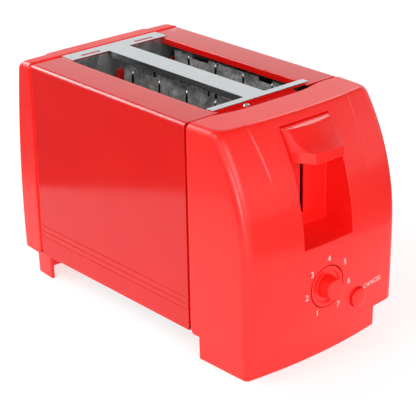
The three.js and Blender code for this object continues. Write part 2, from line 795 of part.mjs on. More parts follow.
// ---------------------------------------------------------------- bread carriage
function breadRack() {
  const half = rackThickness / 2;
  const pitch = (slotLength - 2 * rungMargin) / (rungCount - 1);
  let rack = block(chassisRear - rackTail, bracketBack, -half, half, 0, rackHeight);
  for (let i = 0; i < rungCount; i += 1) {
    const x = slotMiddleX + (i - (rungCount - 1) / 2) * pitch;
    rack = rack.add(block(x - rungWidth / 2, x + rungWidth / 2, -rungLength / 2, rungLength / 2,
      rackHeight - rungThickness, rackHeight));
  }
  return rack;
}

function carriageBracket() {
  const foot = rackBottom;
  const topEdge = railZ - clearance;
  const beam = slotMiddleY + bracketMargin;
  const lugFront = rodX + rodRadius + rodRadius;
  const guide = [rodY - guideWidth / 2, rodY + guideWidth / 2];
  const magnetSide = magnetY - keeperWidth / 2 - 1;
  const keeperTop = magnetTop + leverTravel + clearance + keeperThickness;
  const presserSide = (presserWidth + 2) / 2;
  const bracket = joined(
    block(bracketBack, bracketFront, -beam, presserY + presserSide, foot - bracketLip,
      foot + rackHeight + bracketLip),
    block(bracketBack, bracketFront, springY - bracketMargin, guide[1], foot, topEdge),
    block(bracketBack, bracketFront, magnetSide, springY, foot, keeperTop + bracketLip),
    block(bracketBack, bracketFront, presserY - presserSide, presserY + presserSide, foot,
      presserZ + presserHeight + 1),
    block(bracketBack, lugFront, ...guide, foot, foot + guideHeight),
    block(bracketBack, lugFront, ...guide, topEdge - guideHeight, topEdge),
    block(bracketBack, rodX + springRadius + 1, springY - bracketMargin, springY + bracketMargin,
      springTabZ, springTabZ + bracketThickness),
  );
  return bracket.subtract(bar([rodX, rodY, foot - 1], [rodX, rodY, railZ], rodRadius + clearance));
}

function leverArm() {
  return block(bracketFront, recessBack + armReach, -armWidth / 2, armWidth / 2, 0, armHeight);
}

// a beak that widens from the recess top to a lip for one finger
function leverKnob() {
  const back = recessBack + clearance;
  const wide = recessHalfWidth - slideGap;
  const nose = recessBack + knobNose;
  const lip = wide * knobNoseShare;
  const points = [[back + knobPeak, 0, knobTop], [nose, 0, knobBottom]];
  for (const side of [-1, 1]) {
    points.push(
      [back, side * wide, knobTop],
      [back, side * wide, knobBottom],
      [back + knobCheek, side * wide, knobBottom],
      [back + knobTurn, side * (wide - knobTurnInset), knobBottom],
      [nose, side * lip, knobBottom],
      [nose - knobLipLean, side * (lip - knobLipLean), knobBottom + knobLipHeight],
    );
  }
  const hull = new ConvexGeometry(points.map((point) => new THREE.Vector3(...point)));
  const halfSocket = armWidth / 2 + clearance;
  const socket = block(back - 1, recessBack + armReach + clearance, -halfSocket, halfSocket,
    armBottom - clearance, armBottom + armHeight + clearance);
  return solid(hull).subtract(socket);
}

function coilSpring(length) {
  const perTurn = 9;
  const steps = springTurns * perTurn;
  const turns = [];
  for (let i = 0; i <= steps; i += 1) {
    const angle = (i / perTurn) * Math.PI * 2;
    turns.push(new THREE.Vector3(springRadius * Math.cos(angle), springRadius * Math.sin(angle),
      springWire + (length - 2 * springWire) * (i / steps)));
  }
  const section = new THREE.Shape();
  section.absarc(0, 0, springWire, 0, Math.PI * 2, false);
  const path = new THREE.CatmullRomCurve3(turns);
  return solid(new THREE.ExtrudeGeometry(section, { steps, extrudePath: path, curveSegments: 3 }));
}

// ---------------------------------------------------------------- controls
function dialKnob() {
  const groove = dialGripRadius + dialGrooveWidth;
  const floor = dialFlange - dialGrooveDepth;
  const front = dialFlange + dialGripLength;
  const tip = dialGripRadius - dialGripTaper;
  const hubBack = -clearance - hubLength;
  return turned([
    [0, hubBack], [hubRadius, hubBack], [hubRadius, 0], [dialRadius, 0], [dialRadius, dialFlange],
    [groove, dialFlange], [groove - edgeBreak, floor], [dialGripRadius, floor],
    [tip, front - edgeBreak], [tip - edgeBreak, front], [0, front],
  ]);
}

function cancelButton(depth) {
  const shoulder = buttonRadius + buttonShoulder;
  return turned([
    [0, -depth], [buttonStemRadius, -depth], [buttonStemRadius, -buttonSkirt], [shoulder, -buttonSkirt],
    [shoulder, -buttonSkirt + 1], [buttonRadius, -buttonSkirt + 1],
    [buttonRadius, buttonProud - edgeBreak], [buttonRadius - edgeBreak, buttonProud], [0, buttonProud],
  ]);
}

function screw(length, head) {
  const profile = [
    [0, 0], [head, 0], [head, screwHeadRim], [head * 0.7, screwHeadHeight], [0, screwHeadHeight],
  ];
  const turnedHead = new THREE.LatheGeometry(profile.map(([radius, z]) => new THREE.Vector2(radius, z)), 14);
  turnedHead.rotateX(Math.PI / 2);
  const arm = head * 0.6;
  const half = screwCrossWidth / 2;
  const floor = screwHeadHeight - screwCrossDepth;
  const top = screwHeadHeight + 1;
  const cross = joined(block(-arm, arm, -half, half, floor, top), block(-half, half, -arm, arm, floor, top));
  return joined(solid(turnedHead), bar([0, 0, -length], [0, 0, half], screwShank, 10)).subtract(cross);
}

function magnetCore() {
  const deep = coreDepth / 2;
  const piece = block(-deep, deep, -coreWidth / 2, coreWidth / 2, shelfTop, magnetTop);
  const limb = coreWidth / 2 - coreLimb;
  const pole = poleWidth / 2;
  const floor = shelfTop + coreFoot;
  return cut(piece, block(-deep - 1, deep + 1, -limb, -pole, floor, magnetTop + 1),
    block(-deep - 1, deep + 1, pole, limb, floor, magnetTop + 1));
}

function magnetCoil() {
  const bottom = shelfTop + coreFoot;
  const reach = coreWidth / 2 - coreLimb - clearance;
  const holeX = coreDepth / 2 + clearance;
  const holeY = poleWidth / 2 + clearance;
  return cut(block(-coilDepth / 2, coilDepth / 2, -reach, reach, bottom, magnetTop - coilDrop),
    block(-holeX, holeX, -holeY, holeY, bottom - 1, magnetTop));
}

function circuitBoard() {
  const screwHoles = boardPosts.map(([y, z]) =>
    bar([pcbBack - 1, y, z], [pcbFront + 1, y, z], screwShank + clearance, 12));
  return cut(block(pcbBack, pcbFront, -pcbHalfWidth, pcbHalfWidth, pcbBottom, pcbTop), ...screwHoles);
}

function leadBush() {
  const rim = bushRadius + bushShoulder;
  const seat = bushProud - bushFlange;
  const inside = seat - shellWall - 2 * clearance;
  const outline = [
    [0, inside - bushInnerFlange], [rim, inside - bushInnerFlange], [rim, inside], [bushRadius, inside],
    [bushRadius, seat], [rim, seat], [rim, bushProud], [0, bushProud],
  ];
  const bore = bar([inside - bushInnerFlange - 1, 0, 0], [bushProud + 1, 0, 0], leadHoleRadius);
  return turned(outline).subtract(bore);
}

// ---------------------------------------------------------------- assembly
add('body_wrap', bodyWrap(), redEnamel);
add('front_end_cap', frontEndCap(), redPlastic);
add('rear_end_cap', rearEndCap(), redPlastic, [0, 0, 0], Math.PI);
add('top_plate', topPlate(), brightSteel);
add('base_plate', basePlate(), galvanised);
add('crumb_tray', crumbTray(), galvanised);
add('crumb_tray_hinge_pin', bar([0, -hingePinReach, 0], [0, hingePinReach, 0], hingePinRadius, 12),
  springSteel, [hingeX, 0, hingeZ]);

add('front_chassis_plate', frontChassis(), galvanised);
add('rear_chassis_plate', chassisPlate(chassisRear), galvanised);
const outerBoardMiddle = outerBoardY + boardThickness / 2;
const boardPlaces = { left: -outerBoardMiddle, centre: 0, right: outerBoardMiddle };
for (const [name, y] of Object.entries(boardPlaces)) {
  add(`${name}_element_board`, elementBoard(), mica, [0, y, baseTop + clearance]);
}
const ribbonPlaces = {
  left_outer: -outerBoardY,
  left_inner: -boardThickness / 2 - ribbonThickness,
  right_inner: boardThickness / 2,
  right_outer: outerBoardY - ribbonThickness,
};
for (const [name, y] of Object.entries(ribbonPlaces)) {
  add(`${name}_heating_ribbon`, heatingRibbon(), nichrome, [0, y, baseTop + clearance]);
}
const guardInnerY = slotInnerY + guardInnerGap;
const guardOuterY = slotOuterY + guardOuterGap;
const guardPlaces = {
  left_outer: -guardOuterY, left_inner: -guardInnerY, right_inner: guardInnerY, right_outer: guardOuterY,
};
for (const [name, y] of Object.entries(guardPlaces)) {
  add(`${name}_bread_guard`, wireGuard(), springSteel, [0, y, 0]);
}
add('left_reflector', reflector(), galvanised, [0, -reflectorY - plateThickness, 0]);
add('right_reflector', reflector(), galvanised, [0, reflectorY, 0]);

add('left_bread_rack', breadRack(), springSteel, [0, -slotMiddleY, rackBottom]);
add('right_bread_rack', breadRack(), springSteel, [0, slotMiddleY, rackBottom]);
add('carriage_bracket', carriageBracket(), galvanised);
add('lever_arm', leverArm(), galvanised, [0, 0, armBottom]);
add('lever_knob', leverKnob(), redPlastic);
add('magnet_keeper', block(bracketFront, bracketFront + keeperLength, -keeperWidth / 2, keeperWidth / 2,
  0, keeperThickness), springSteel, [0, magnetY, magnetTop + leverTravel + clearance]);
add('contact_presser', block(bracketFront, bracketFront + presserLength, -presserWidth / 2,
  presserWidth / 2, 0, presserHeight), whitePlastic, [0, presserY, presserZ]);
const rodTop = railZ + shelfThickness + rodProud;
add('carriage_guide_rod', bar([0, 0, shelfZ - rodProud], [0, 0, rodTop], rodRadius), springSteel,
  [rodX, rodY, 0]);
const springBottom = springTabZ + bracketThickness + clearance;
add('carriage_spring', coilSpring(railZ - clearance - springBottom), springSteel,
  [rodX, springY, springBottom]);

add('magnet_core', magnetCore(), galvanised, [magnetX, magnetY, 0]);
add('magnet_coil', magnetCoil(), copperEnamel, [magnetX, magnetY, 0]);
const contactTop = shelfTop + contactHeight;
add('mains_contact_block', block(contactGap, contactGap + contactLength, -contactWidth / 2,
  contactWidth / 2, shelfTop, contactTop), phenolic, [bracketBack, presserY, 0]);
const bladeTop = presserZ - leverTravel - clearance;
for (const [name, reach] of Object.entries(bladeReach)) {
  add(`${name}_contact_blade`, block(-bladeThickness / 2, bladeThickness / 2, -bladeWidth / 2,
    bladeWidth / 2, contactTop, bladeTop), brightSteel, [bracketBack + reach, presserY, 0]);
}

add('circuit_board', circuitBoard(), phenolic);
add('browning_potentiometer', block(0, potDepth, -potWidth / 2, potWidth / 2, -potBelow, potAbove),
  blackPlastic, [pcbFront, dialY, dialZ]);
const shaftStart = pcbFront + potDepth + clearance;
const shaftEnd = wellBack - hubLength - clearance;
add('potentiometer_shaft', bar([shaftStart, 0, 0], [shaftEnd, 0, 0], shaftRadius, 14), brightSteel,
  [0, dialY, dialZ]);
add('browning_dial', dialKnob(), redPlastic, [dialPlace, dialY, dialZ]);
const buttonFace = faceAt(buttonZ, frontCap) + frontBulge * (1 - (buttonY / (capHalfWidth - capTaper)) ** 2);
add('cancel_switch', block(0, switchDepth, -switchWidth / 2, switchWidth / 2, -switchWidth / 2,
  switchWidth / 2), blackPlastic, [pcbFront, buttonY, buttonZ]);
const stemDepth = buttonFace - pcbFront - switchDepth - clearance - buttonTravel;
add('cancel_button', cancelButton(stemDepth), redPlastic, [buttonFace, buttonY, buttonZ]);
const boardPieces = {
  dropper_capacitor: [capacitorPlace, capacitorSize, whitePlastic],
  timer_chip: [chipPlace, chipSize, blackPlastic],
};
for (const [name, [[y, z], [deep, wide, high], material]] of Object.entries(boardPieces)) {
  add(name, block(-deep, 0, -wide / 2, wide / 2, -high / 2, high / 2), material, [pcbBack, y, z]);
}
add('mains_lead_bush', leadBush(), blackPlastic, [-rearFace, -bushY, bushZ], Math.PI);

for (const [end, sign] of [['front', 1], ['rear', -1]]) {
  for (const [side, y] of [['left', -screwY], ['right', screwY]]) {
    const piece = screw(screwLength, screwHead).mirror([0, 0, 1]);
    add(`${end}_${side}_cap_screw`, piece, brightSteel, [sign * screwX, y, capBottom]);
  }
}
add('front_top_screw', screw(topScrewLength, topScrewHead), brightSteel,
  [topScrewX, topScrewY, wrapTop - sheet - slideGap]);
for (const [name, y] of [['left', -postY], ['right', postY]]) {
  const piece = screw(boardScrewLength, screwHead).rotate([0, -90, 0]);
  add(`${name}_board_screw`, piece, brightSteel, [pcbBack, y, postZ]);
}

export default toaster;
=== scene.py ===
import json
import math

import bmesh
import bpy
from mathutils import Matrix, Vector

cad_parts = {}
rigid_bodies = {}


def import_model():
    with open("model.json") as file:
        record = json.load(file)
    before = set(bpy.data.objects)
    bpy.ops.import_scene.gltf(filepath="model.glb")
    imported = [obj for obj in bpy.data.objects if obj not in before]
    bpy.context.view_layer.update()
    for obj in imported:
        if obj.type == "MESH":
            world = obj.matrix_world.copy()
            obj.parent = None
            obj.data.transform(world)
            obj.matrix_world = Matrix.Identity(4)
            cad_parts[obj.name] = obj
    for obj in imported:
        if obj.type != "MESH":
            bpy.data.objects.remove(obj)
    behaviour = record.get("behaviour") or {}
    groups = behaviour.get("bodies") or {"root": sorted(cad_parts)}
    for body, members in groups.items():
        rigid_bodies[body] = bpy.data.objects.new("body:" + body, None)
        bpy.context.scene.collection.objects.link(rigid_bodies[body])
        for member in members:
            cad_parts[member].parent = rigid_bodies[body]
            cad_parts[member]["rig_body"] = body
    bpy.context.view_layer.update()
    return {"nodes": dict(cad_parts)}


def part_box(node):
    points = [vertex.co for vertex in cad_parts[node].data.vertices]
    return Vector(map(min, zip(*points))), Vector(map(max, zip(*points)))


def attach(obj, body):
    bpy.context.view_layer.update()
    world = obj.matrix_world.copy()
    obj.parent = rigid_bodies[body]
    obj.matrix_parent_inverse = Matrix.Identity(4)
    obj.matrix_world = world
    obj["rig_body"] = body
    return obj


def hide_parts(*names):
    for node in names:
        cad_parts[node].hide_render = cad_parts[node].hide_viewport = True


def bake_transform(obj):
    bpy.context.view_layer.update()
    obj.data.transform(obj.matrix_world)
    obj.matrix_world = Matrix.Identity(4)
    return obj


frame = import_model()
nodes = frame["nodes"]

MM = 0.001
SHARP_FROM = math.radians(40)   # edges that turn by more than this stay sharp


# -------- places taken from the frame
def span(node):
    """The lowest and highest corner of a CAD node, in millimetres."""
    low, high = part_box(node)
    return low / MM, high / MM


wrap_low, wrap_high = span("body_wrap")
plate_low, plate_high = span("top_plate")
cap_high = span("front_end_cap")[1]
knob_low, knob_high = span("lever_knob")
dial_low, dial_high = span("browning_dial")
button_low, button_high = span("cancel_button")

# lengths in millimetres; the caps are drawn from the middle of the wrap outwards
MIDDLE_X = (wrap_low.x + wrap_high.x) / 2
WRAP_HALF_LENGTH = (wrap_high.x - wrap_low.x) / 2
WRAP_HALF_WIDTH = wrap_high.y
WRAP_TOP = wrap_high.z
WRAP_ROUND = 3.2
SHEET = 1.0
CAP_HALF_WIDTH = cap_high.y
CAP_TOP = cap_high.z
CAP_BOTTOM = 23.5
SEAM = WRAP_HALF_LENGTH + 2.6   # the caps begin past an open gap
SLOT_REAR = MIDDLE_X - 73.2     # the slots' ends along X, then their sides
SLOT_FRONT = MIDDLE_X + 77.0
SLOT_INNER = 9.7
SLOT_OUTER = 43.5
RECESS_HALF = 23.2
RECESS_BACK = 124.6
SLIT_HALF = 1.7
RELIEF_FLOOR = 176.6            # the shallow relief in the front cap's top edge
RELIEF_REACH = 5.2
RELIEF_HALF = 50.0


# -------- mesh helpers
class Skin:
    """Gathers the corners, faces and softened edges of one sheet or shell, in millimetres."""

    def __init__(self):
        self.found = {}
        self.points = []
        self.faces = []
        self.soft = {}

    def at(self, place):
        """The number of the corner at this place; corners within a micrometre are one."""
        key = tuple(round(c, 3) for c in place)
        if key not in self.found:
            self.found[key] = len(self.points)
            self.points.append(Vector(place))
        return self.found[key]

    def face(self, *places):
        """One face; corners that fall together are left out."""
        ring = [self.at(p) for p in places]
        ring = [c for i, c in enumerate(ring) if c != ring[i - 1]]
        if len(set(ring)) > 2:
            self.faces.append(ring)

    def cells(self, rows, left_out=lambda row, column: False):
        """The faces of a grid of points, but for those that are left out."""
        for i, (first, second) in enumerate(zip(rows, rows[1:])):
            for j in range(len(first) - 1):
                if not left_out(i, j):
                    self.face(first[j], first[j + 1], second[j + 1], second[j])

    def tube(self, rings):
        """The faces between closed rings of points."""
        self.cells([[*ring, ring[0]] for ring in rings])

    def soften(self, row, radius, closed=False):
        """Marks the edges along a row to be rounded."""
        corners = [self.at(p) for p in row]
        if closed:
            corners.append(corners[0])
        for a, b in zip(corners, corners[1:]):
            self.soft[(min(a, b), max(a, b))] = radius

    def mesh(self, name, inside=None, move=None):
        """The mesh, its faces turned away from the point inside, and its widest rounding."""
        work = bmesh.new()
        spots = [work.verts.new(p) for p in self.points]
        for ring in self.faces:
            work.faces.new([spots[i] for i in ring])
        bmesh.ops.recalc_face_normals(work, faces=work.faces)
        work.normal_update()
        if inside:
            lean = sum((f.calc_center_median() - Vector(inside)).dot(f.normal) * f.calc_area()
                       for f in work.faces)
            if lean < 0:
                bmesh.ops.reverse_faces(work, faces=work.faces)
        widest = max(self.soft.values(), default=1)
        layer = work.edges.layers.float.new("bevel_weight_edge")
        for (a, b), radius in self.soft.items():
            edge = work.edges.get((spots[a], spots[b]))
            if edge:
                edge[layer] = radius / widest
        if move:
            work.transform(move)
        work.transform(Matrix.Scale(MM, 4))
        bmesh.ops.delete(work, geom=[v for v in work.verts if not v.link_faces], context="VERTS")
        mesh = bpy.data.meshes.new(name)
        work.to_mesh(mesh)
        work.free()
        mesh.shade_smooth()
        return mesh, widest


def show(name, data):
    """Puts a new object in the scene."""
    thing = bpy.data.objects.new(name, data)
    bpy.context.scene.collection.objects.link(thing)
    return thing


def modify(piece, kind, **settings):
    """Adds one modifier with its settings."""
    step = piece.modifiers.new(kind.title(), kind)
    for name, value in settings.items():
        setattr(step, name, value)


def place(name, mesh, material, slot, body="body", stands_for=()):
    """Puts a mesh in the scene as a piece that rides on a CAD body."""
    piece = show(name, mesh)
    mesh.materials.append(material)
    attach(piece, body)
    if stands_for:
        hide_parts(*stands_for)
    return piece


def build(name, skins, material, slot, body="body", stands_for=(), inside=None, turn=None):
    """One piece from several skins, each (skin, wall); walls and softened edges are made here."""
    parts = []
    for number, (skin, wall) in enumerate(skins):
        mesh, widest = skin.mesh(f"{name}_{number}", inside, turn)
        part = show(mesh.name, mesh)
        if wall:
            modify(part, "SOLIDIFY", thickness=wall * MM, offset=-1, use_even_offset=True,
                   use_quality_normals=True)
        if skin.soft:
            modify(part, "BEVEL", width=widest * MM, segments=3, limit_method="WEIGHT",
                   use_clamp_overlap=False, harden_normals=False)
        parts.append(part)
    graph = bpy.context.evaluated_depsgraph_get()
    work = bmesh.new()
    for part in parts:
        work.from_object(part, graph)
    for part in parts:
        bpy.data.meshes.remove(part.data)
    whole = bpy.data.meshes.new(name)
    work.to_mesh(whole)
    work.free()
    whole.set_sharp_from_angle(angle=SHARP_FROM)
    piece = place(name, whole, material, slot, body, stands_for)
    modify(piece, "WEIGHTED_NORMAL", keep_sharp=True, weight=60)
    return piece


# -------- material helpers
def linear(colour):
    """An sRGB hex colour, or a plain brightness, as linear red, green, blue and alpha."""
    if not isinstance(colour, str):
        return [colour] * 3 + [1.0]
    parts = [int(colour[i:i + 2], 16) / 255 for i in (1, 3, 5)]
    return [p / 12.92 if p <= 0.04045 else ((p + 0.055) / 1.055) ** 2.4 for p in parts] + [1.0]


def feed(owner, node, inputs):
    """Sets or links the inputs of a node; another node is linked by its first output."""
    for name, value in inputs.items():
        if isinstance(value, bpy.types.Node):
            value = value.outputs[0]
        if isinstance(value, bpy.types.NodeSocket):
            owner.node_tree.links.new(value, node.inputs[name])
        else:
            node.inputs[name].default_value = value


def add(owner, kind, inputs=None, stops=(), **settings):
    """Adds one shader node with its settings, links and stops, each (position, colour)."""
    node = owner.node_tree.nodes.new("ShaderNode" + kind)
    for name, value in settings.items():
        setattr(node, name, value)
    for number, (position, colour) in enumerate(stops):
        node.color_ramp.elements[number].position = position
        node.color_ramp.elements[number].color = linear(colour)
    feed(owner, node, inputs or {})
    return node


class Surface:
    """A material being made, with its shader and the space that its patterns lie in."""

    def __init__(self, name, stretch=None, **sockets):
        """Patterns are drawn out where stretch is less than one. Sockets are the shader's."""
        self.material = bpy.data.materials.new(name)
        self.material.use_nodes = True
        self.node_tree = self.material.node_tree
        self.node_tree.nodes.clear()
        self.shader = add(self, "BsdfPrincipled")
        add(self, "OutputMaterial", {"Surface": self.shader})
        self.finish(**sockets)
        self.where = add(self, "TexCoord").outputs["Object"]
        if stretch:
            self.where = add(self, "Mapping", {"Vector": self.where, "Scale": stretch})

    def finish(self, **sockets):
        """Sets or links the shader's sockets, and returns the material."""
        feed(self, self.shader, {name.replace("_", " "): sockets[name] for name in sockets})
        return self.material

    def sized(self, size, **more):
        """The inputs of a pattern of this size in millimetres, in a space in metres."""
        return {"Vector": self.where, "Scale": 1 / (size * MM), **more}

    def mottle(self, size, first, second, detail=2.0):
        """A soft change between two colours, in patches of this size."""
        patches = add(self, "TexNoise", self.sized(size, Detail=detail))
        return add(self, "ValToRGB", {"Fac": patches}, ((0.35, first), (0.65, second)))

    def vary(self, size, low, high, detail=2.0):
        """A value that changes between two limits, in patches of this size."""
        patches = add(self, "TexNoise", self.sized(size, Detail=detail))
        return add(self, "MapRange", {"Value": patches, "From Min": 0.3, "From Max": 0.7,
                                      "To Min": low, "To Max": high})


# -------- materials
def moulded_abs_red():
    # glossy injection-moulded ABS: even colour, a soft sheen under a thin polished skin, and a
    # faint ripple of the mould
    red = Surface("moulded_abs_red", IOR=1.42, Coat_Weight=0.22, Coat_Roughness=0.09)
    ripple = add(red, "TexNoise", red.sized(9, Detail=1.0))
    return red.finish(Base_Color=red.mottle(40, "#FA1812", "#FC1B13"),
                      Roughness=red.vary(14, 0.36, 0.42),
                      Normal=add(red, "Bump", {"Height": ripple, "Distance": 0.02 * MM}))


def unpolished_abs_red():
    # the same plastic where the mould was left unpolished, below the surface: dull, no sheen; its
    # darker red is painted shade for the sunk ledge
    red = Surface("unpolished_abs_red", IOR=1.08)
    return red.finish(Base_Color=red.mottle(20, "#D60503", "#DC0604"),
                      Roughness=red.vary(3, 0.6, 0.75))


def stoved_enamel_red():
    # stoved enamel on steel sheet: a deeper, glassier red than the plastic, faint orange peel
    red = Surface("stoved_enamel_red", IOR=1.45)
    peel = add(red, "TexNoise", red.sized(2.4, Detail=1.5))
    return red.finish(Base_Color=red.mottle(30, "#E00E0A", "#E4110C"),
                      Roughness=red.vary(20, 0.09, 0.12),
                      Normal=add(red, "Bump", {"Height": peel, "Distance": 0.004 * MM}))


def plated_steel():
    # nickel-plated steel strip: bright, with a fine grain along the rolling direction
    steel = Surface("plated_steel", stretch=(0.04, 1.0, 1.0), Metallic=1.0)
    grain = add(steel, "TexNoise", steel.sized(0.7, Detail=3.0))
    tone = add(steel, "ValToRGB", {"Fac": grain}, ((0.3, "#C3C8CA"), (0.7, "#CBD0D2")))
    ridges = add(steel, "Bump", {"Height": grain, "Distance": 0.004 * MM})
    return steel.finish(Base_Color=tone, Roughness=steel.vary(1.2, 0.2, 0.3), Normal=ridges)


def galvanised_sheet():
    # hot-dip galvanised sheet: grey zinc with large dull spangles
    zinc = Surface("galvanised_sheet", Metallic=1.0)
    spangle = add(zinc, "TexVoronoi", zinc.sized(7)).outputs["Color"]
    tone = add(zinc, "ValToRGB", {"Fac": spangle}, ((0, "#9EA2A4"), (1, "#C4C8C9")))
    rough = add(zinc, "MapRange", {"Value": spangle, "To Min": 0.32, "To Max": 0.5})
    return zinc.finish(Base_Color=tone, Roughness=rough)


def zinc_wire(name, dark, light, rough):
    # zinc-plated drawn wire: soft metal shine with fine lengthwise drawing marks
    wire = Surface(name, stretch=(1.0, 1.0, 0.1), Metallic=1.0)
    return wire.finish(Base_Color=wire.mottle(1.5, dark, light), Roughness=wire.vary(1.0, *rough))


def heated_wire():
    # the guards' zinc-plated wire: painted shade darkens it below the tips, and the tips keep the
    # bright wire tone
    wire = Surface("heat_darkened_wire", Metallic=1.0)
    # heights over which the painted shade gives way to the bright tips
    dark, bright = 165.5 * MM, 168 * MM
    height = add(wire, "SeparateXYZ", {"Vector": wire.where}).outputs["Z"]
    share = add(wire, "MapRange", {"Value": height, "From Min": dark, "From Max": bright})
    tone = add(wire, "ValToRGB", {"Fac": share}, ((0, "#2B2A29"), (1, "#A6A6A2")))
    return wire.finish(Base_Color=tone, Roughness=wire.vary(1.5, 0.3, 0.45))


def pressed_mica():
    # pressed mica board: grey-brown with pale glinting flakes
    mica = Surface("pressed_mica", IOR=1.58)
    flakes = add(mica, "TexVoronoi", mica.sized(1.8))
    glint = flakes.outputs["Color"]
    tone = add(mica, "ValToRGB", {"Fac": glint}, ((0, "#868685"), (1, "#D2D2D0")))
    cloud = mica.mottle(12, "#A9AAAA", "#FFFFFF", 3.0)
    both = add(mica, "Mix", {0: 1.0, 6: tone, 7: cloud}, data_type="RGBA", blend_type="MULTIPLY")
    edges = add(mica, "Bump", {"Height": flakes, "Distance": 0.05 * MM})
    return mica.finish(Base_Color=both.outputs[2], Roughness=mica.vary(2, 0.35, 0.65),
                       Normal=edges)


def oxidised_nichrome():
    # nichrome ribbon after a few hundred heats: brown-grey oxide with straw and blue tints
    ribbon = Surface("oxidised_nichrome", Metallic=1.0)
    return ribbon.finish(Base_Color=ribbon.mottle(6, "#5B5048", "#7C756B", 3.0),
                         Roughness=ribbon.vary(3, 0.4, 0.6))


def enamelled_copper():
    # enamelled copper wire wound in neat layers: lacquer gloss over orange-brown
    coil = Surface("enamelled_copper_winding", Metallic=1.0, Coat_Weight=0.6, Coat_Roughness=0.15)
    # the wire is 0.4 mm thick; its turns are drawn at 0.8 mm so that they show
    turns = add(coil, "TexWave", coil.sized(0.8 * math.tau), bands_direction="Z").outputs["Fac"]
    tone = add(coil, "ValToRGB", {"Fac": turns}, ((0, "#6E2C12"), (1, "#B8602C")))
    ridges = add(coil, "Bump", {"Height": turns, "Distance": 0.2 * MM})
    return coil.finish(Base_Color=tone, Roughness=coil.vary(4, 0.3, 0.4), Normal=ridges)


def pressed_phenolic(name, dark, light):
    # phenolic board or moulding: filled resin with a fine speckle and a low sheen
    resin = Surface(name, IOR=1.6)
    speckle = add(resin, "Bump", {"Height": resin.vary(0.8, 0, 1, 3.0), "Distance": 0.02 * MM})
    return resin.finish(Base_Color=resin.mottle(0.9, dark, light, 4.0),
                        Roughness=resin.vary(3, 0.4, 0.55), Normal=speckle)


def moulded_plastic(name, dark, light, rough):
    # small moulded plastic parts: near-even colour with a satin mould finish
    plastic = Surface(name, IOR=1.5)
    satin = add(plastic, "Bump", {"Height": plastic.vary(0.6, 0, 1, 3.0), "Distance": 0.01 * MM})
    return plastic.finish(Base_Color=plastic.mottle(8, dark, light),
                          Roughness=plastic.vary(5, *rough), Normal=satin)


def printed_ink():
    # screen-printed white ink on red plastic: thin enough to let a little red through
    ink = Surface("printed_ink", IOR=1.5)
    return ink.finish(Base_Color=ink.mottle(0.8, "#EFB9B5", "#FBE3E1"),
                      Roughness=ink.vary(1, 0.45, 0.6))


RED_PLASTIC = moulded_abs_red()
SHADED_MATT_PLASTIC = unpolished_abs_red()
RED_ENAMEL = stoved_enamel_red()
BRIGHT_STEEL = plated_steel()
GALVANISED = galvanised_sheet()
SHADED_WIRE = heated_wire()
SPRING_STEEL = zinc_wire("drawn_spring_steel", "#6F7173", "#9A9C9E", (0.25, 0.35))
SCREW_ZINC = zinc_wire("zinc_plated_screw", "#A5A6A2", "#C9CAC6", (0.2, 0.32))
MICA = pressed_mica()
NICHROME = oxidised_nichrome()
COPPER = enamelled_copper()
LAMINATE = pressed_phenolic("phenolic_laminate", "#8A5A28", "#A87537")
PHENOLIC = pressed_phenolic("phenolic_moulding", "#2A1A10", "#3B2618")
BLACK_PLASTIC = moulded_plastic("moulded_black_nylon", "#0E0E0F", "#18181A", (0.35, 0.5))
WHITE_PLASTIC = moulded_plastic("moulded_white_nylon", "#E2DFD6", "#ECE9E1", (0.3, 0.45))
INK = printed_ink()


# -------- end caps
def smooth(value):
    """A ramp from 0 to 1 that eases in and out."""
    value = min(1, max(0, value))
    return value * value * (3 - 2 * value)


class Cap:
    """One moulded end cap. Out is measured from the middle of the wrap to the cap's own face."""

    TAPER = 1.2
    SIDE_ROUND = 5.0
    FOOT_ROUND = 4.0
    TOP_STEPS = 9

    def __init__(self, levels, lean, top_round, **sizes):
        """The face leans back on the radius lean. Other sizes: face_out, bulge, upright,
        corner, tuck and panel."""
        vars(self).update(sizes)
        self.lean = lean
        slope = math.asin((CAP_TOP - top_round - self.upright) / (lean - top_round))
        self.levels = [(z, self.setback(z), self.draw(z)) for z in levels]
        for i in range(self.TOP_STEPS + 1):
            angle = slope + (math.pi / 2 - slope) * i / self.TOP_STEPS
            z = CAP_TOP - top_round * (1 - math.sin(angle))
            back = lean - (lean - top_round) * math.cos(slope) - top_round * math.cos(angle)
            self.levels.append((z, back, self.draw(z)))

    def draw(self, z):
        """How far the sides draw in at this height, to round the long top edges."""
        side = max(0.0, z - (CAP_TOP - self.SIDE_ROUND))
        return self.SIDE_ROUND - math.sqrt(max(0.0, self.SIDE_ROUND ** 2 - side ** 2))

    def setback(self, z):
        """How far the face sits in from its upright plane at this height."""
        if z < self.upright:
            depth = (self.upright - z) / (self.upright - CAP_BOTTOM)
            return self.tuck * depth * depth
        return self.lean - math.sqrt(self.lean ** 2 - (z - self.upright) ** 2)

    def crease(self, z):
        """Half the width of the raised middle panel at this height."""
        rise = min(1, max(0, (z - PANEL_LOW) / PANEL_WIDENS))
        return PANEL_FOOT + (PANEL_HEAD - PANEL_FOOT) * rise ** 0.75

    def raised(self, y, z):
        """How far the middle panel stands out; it fades away downwards."""
        across = smooth((self.crease(z) + CREASE_WIDTH / 2 - abs(y)) / CREASE_WIDTH)
        return self.panel * across * smooth((z - PANEL_LOW - 2) / PANEL_FADE)

    def out(self, y, z, setback=None, inner=None):
        """How far out the face is at this place."""
        inner = inner or CAP_HALF_WIDTH - self.TAPER
        setback = self.setback(z) if setback is None else setback
        return self.face_out + self.bulge * (1 - (y / inner) ** 2) - setback + self.raised(y, z)


PANEL_LOW = 124.0               # the raised middle panel begins here
PANEL_FOOT = 39.0
PANEL_HEAD = 47.2
PANEL_WIDENS = 55.4             # the height over which it widens from foot to head
PANEL_FADE = 26
CREASE_WIDTH = 1.8
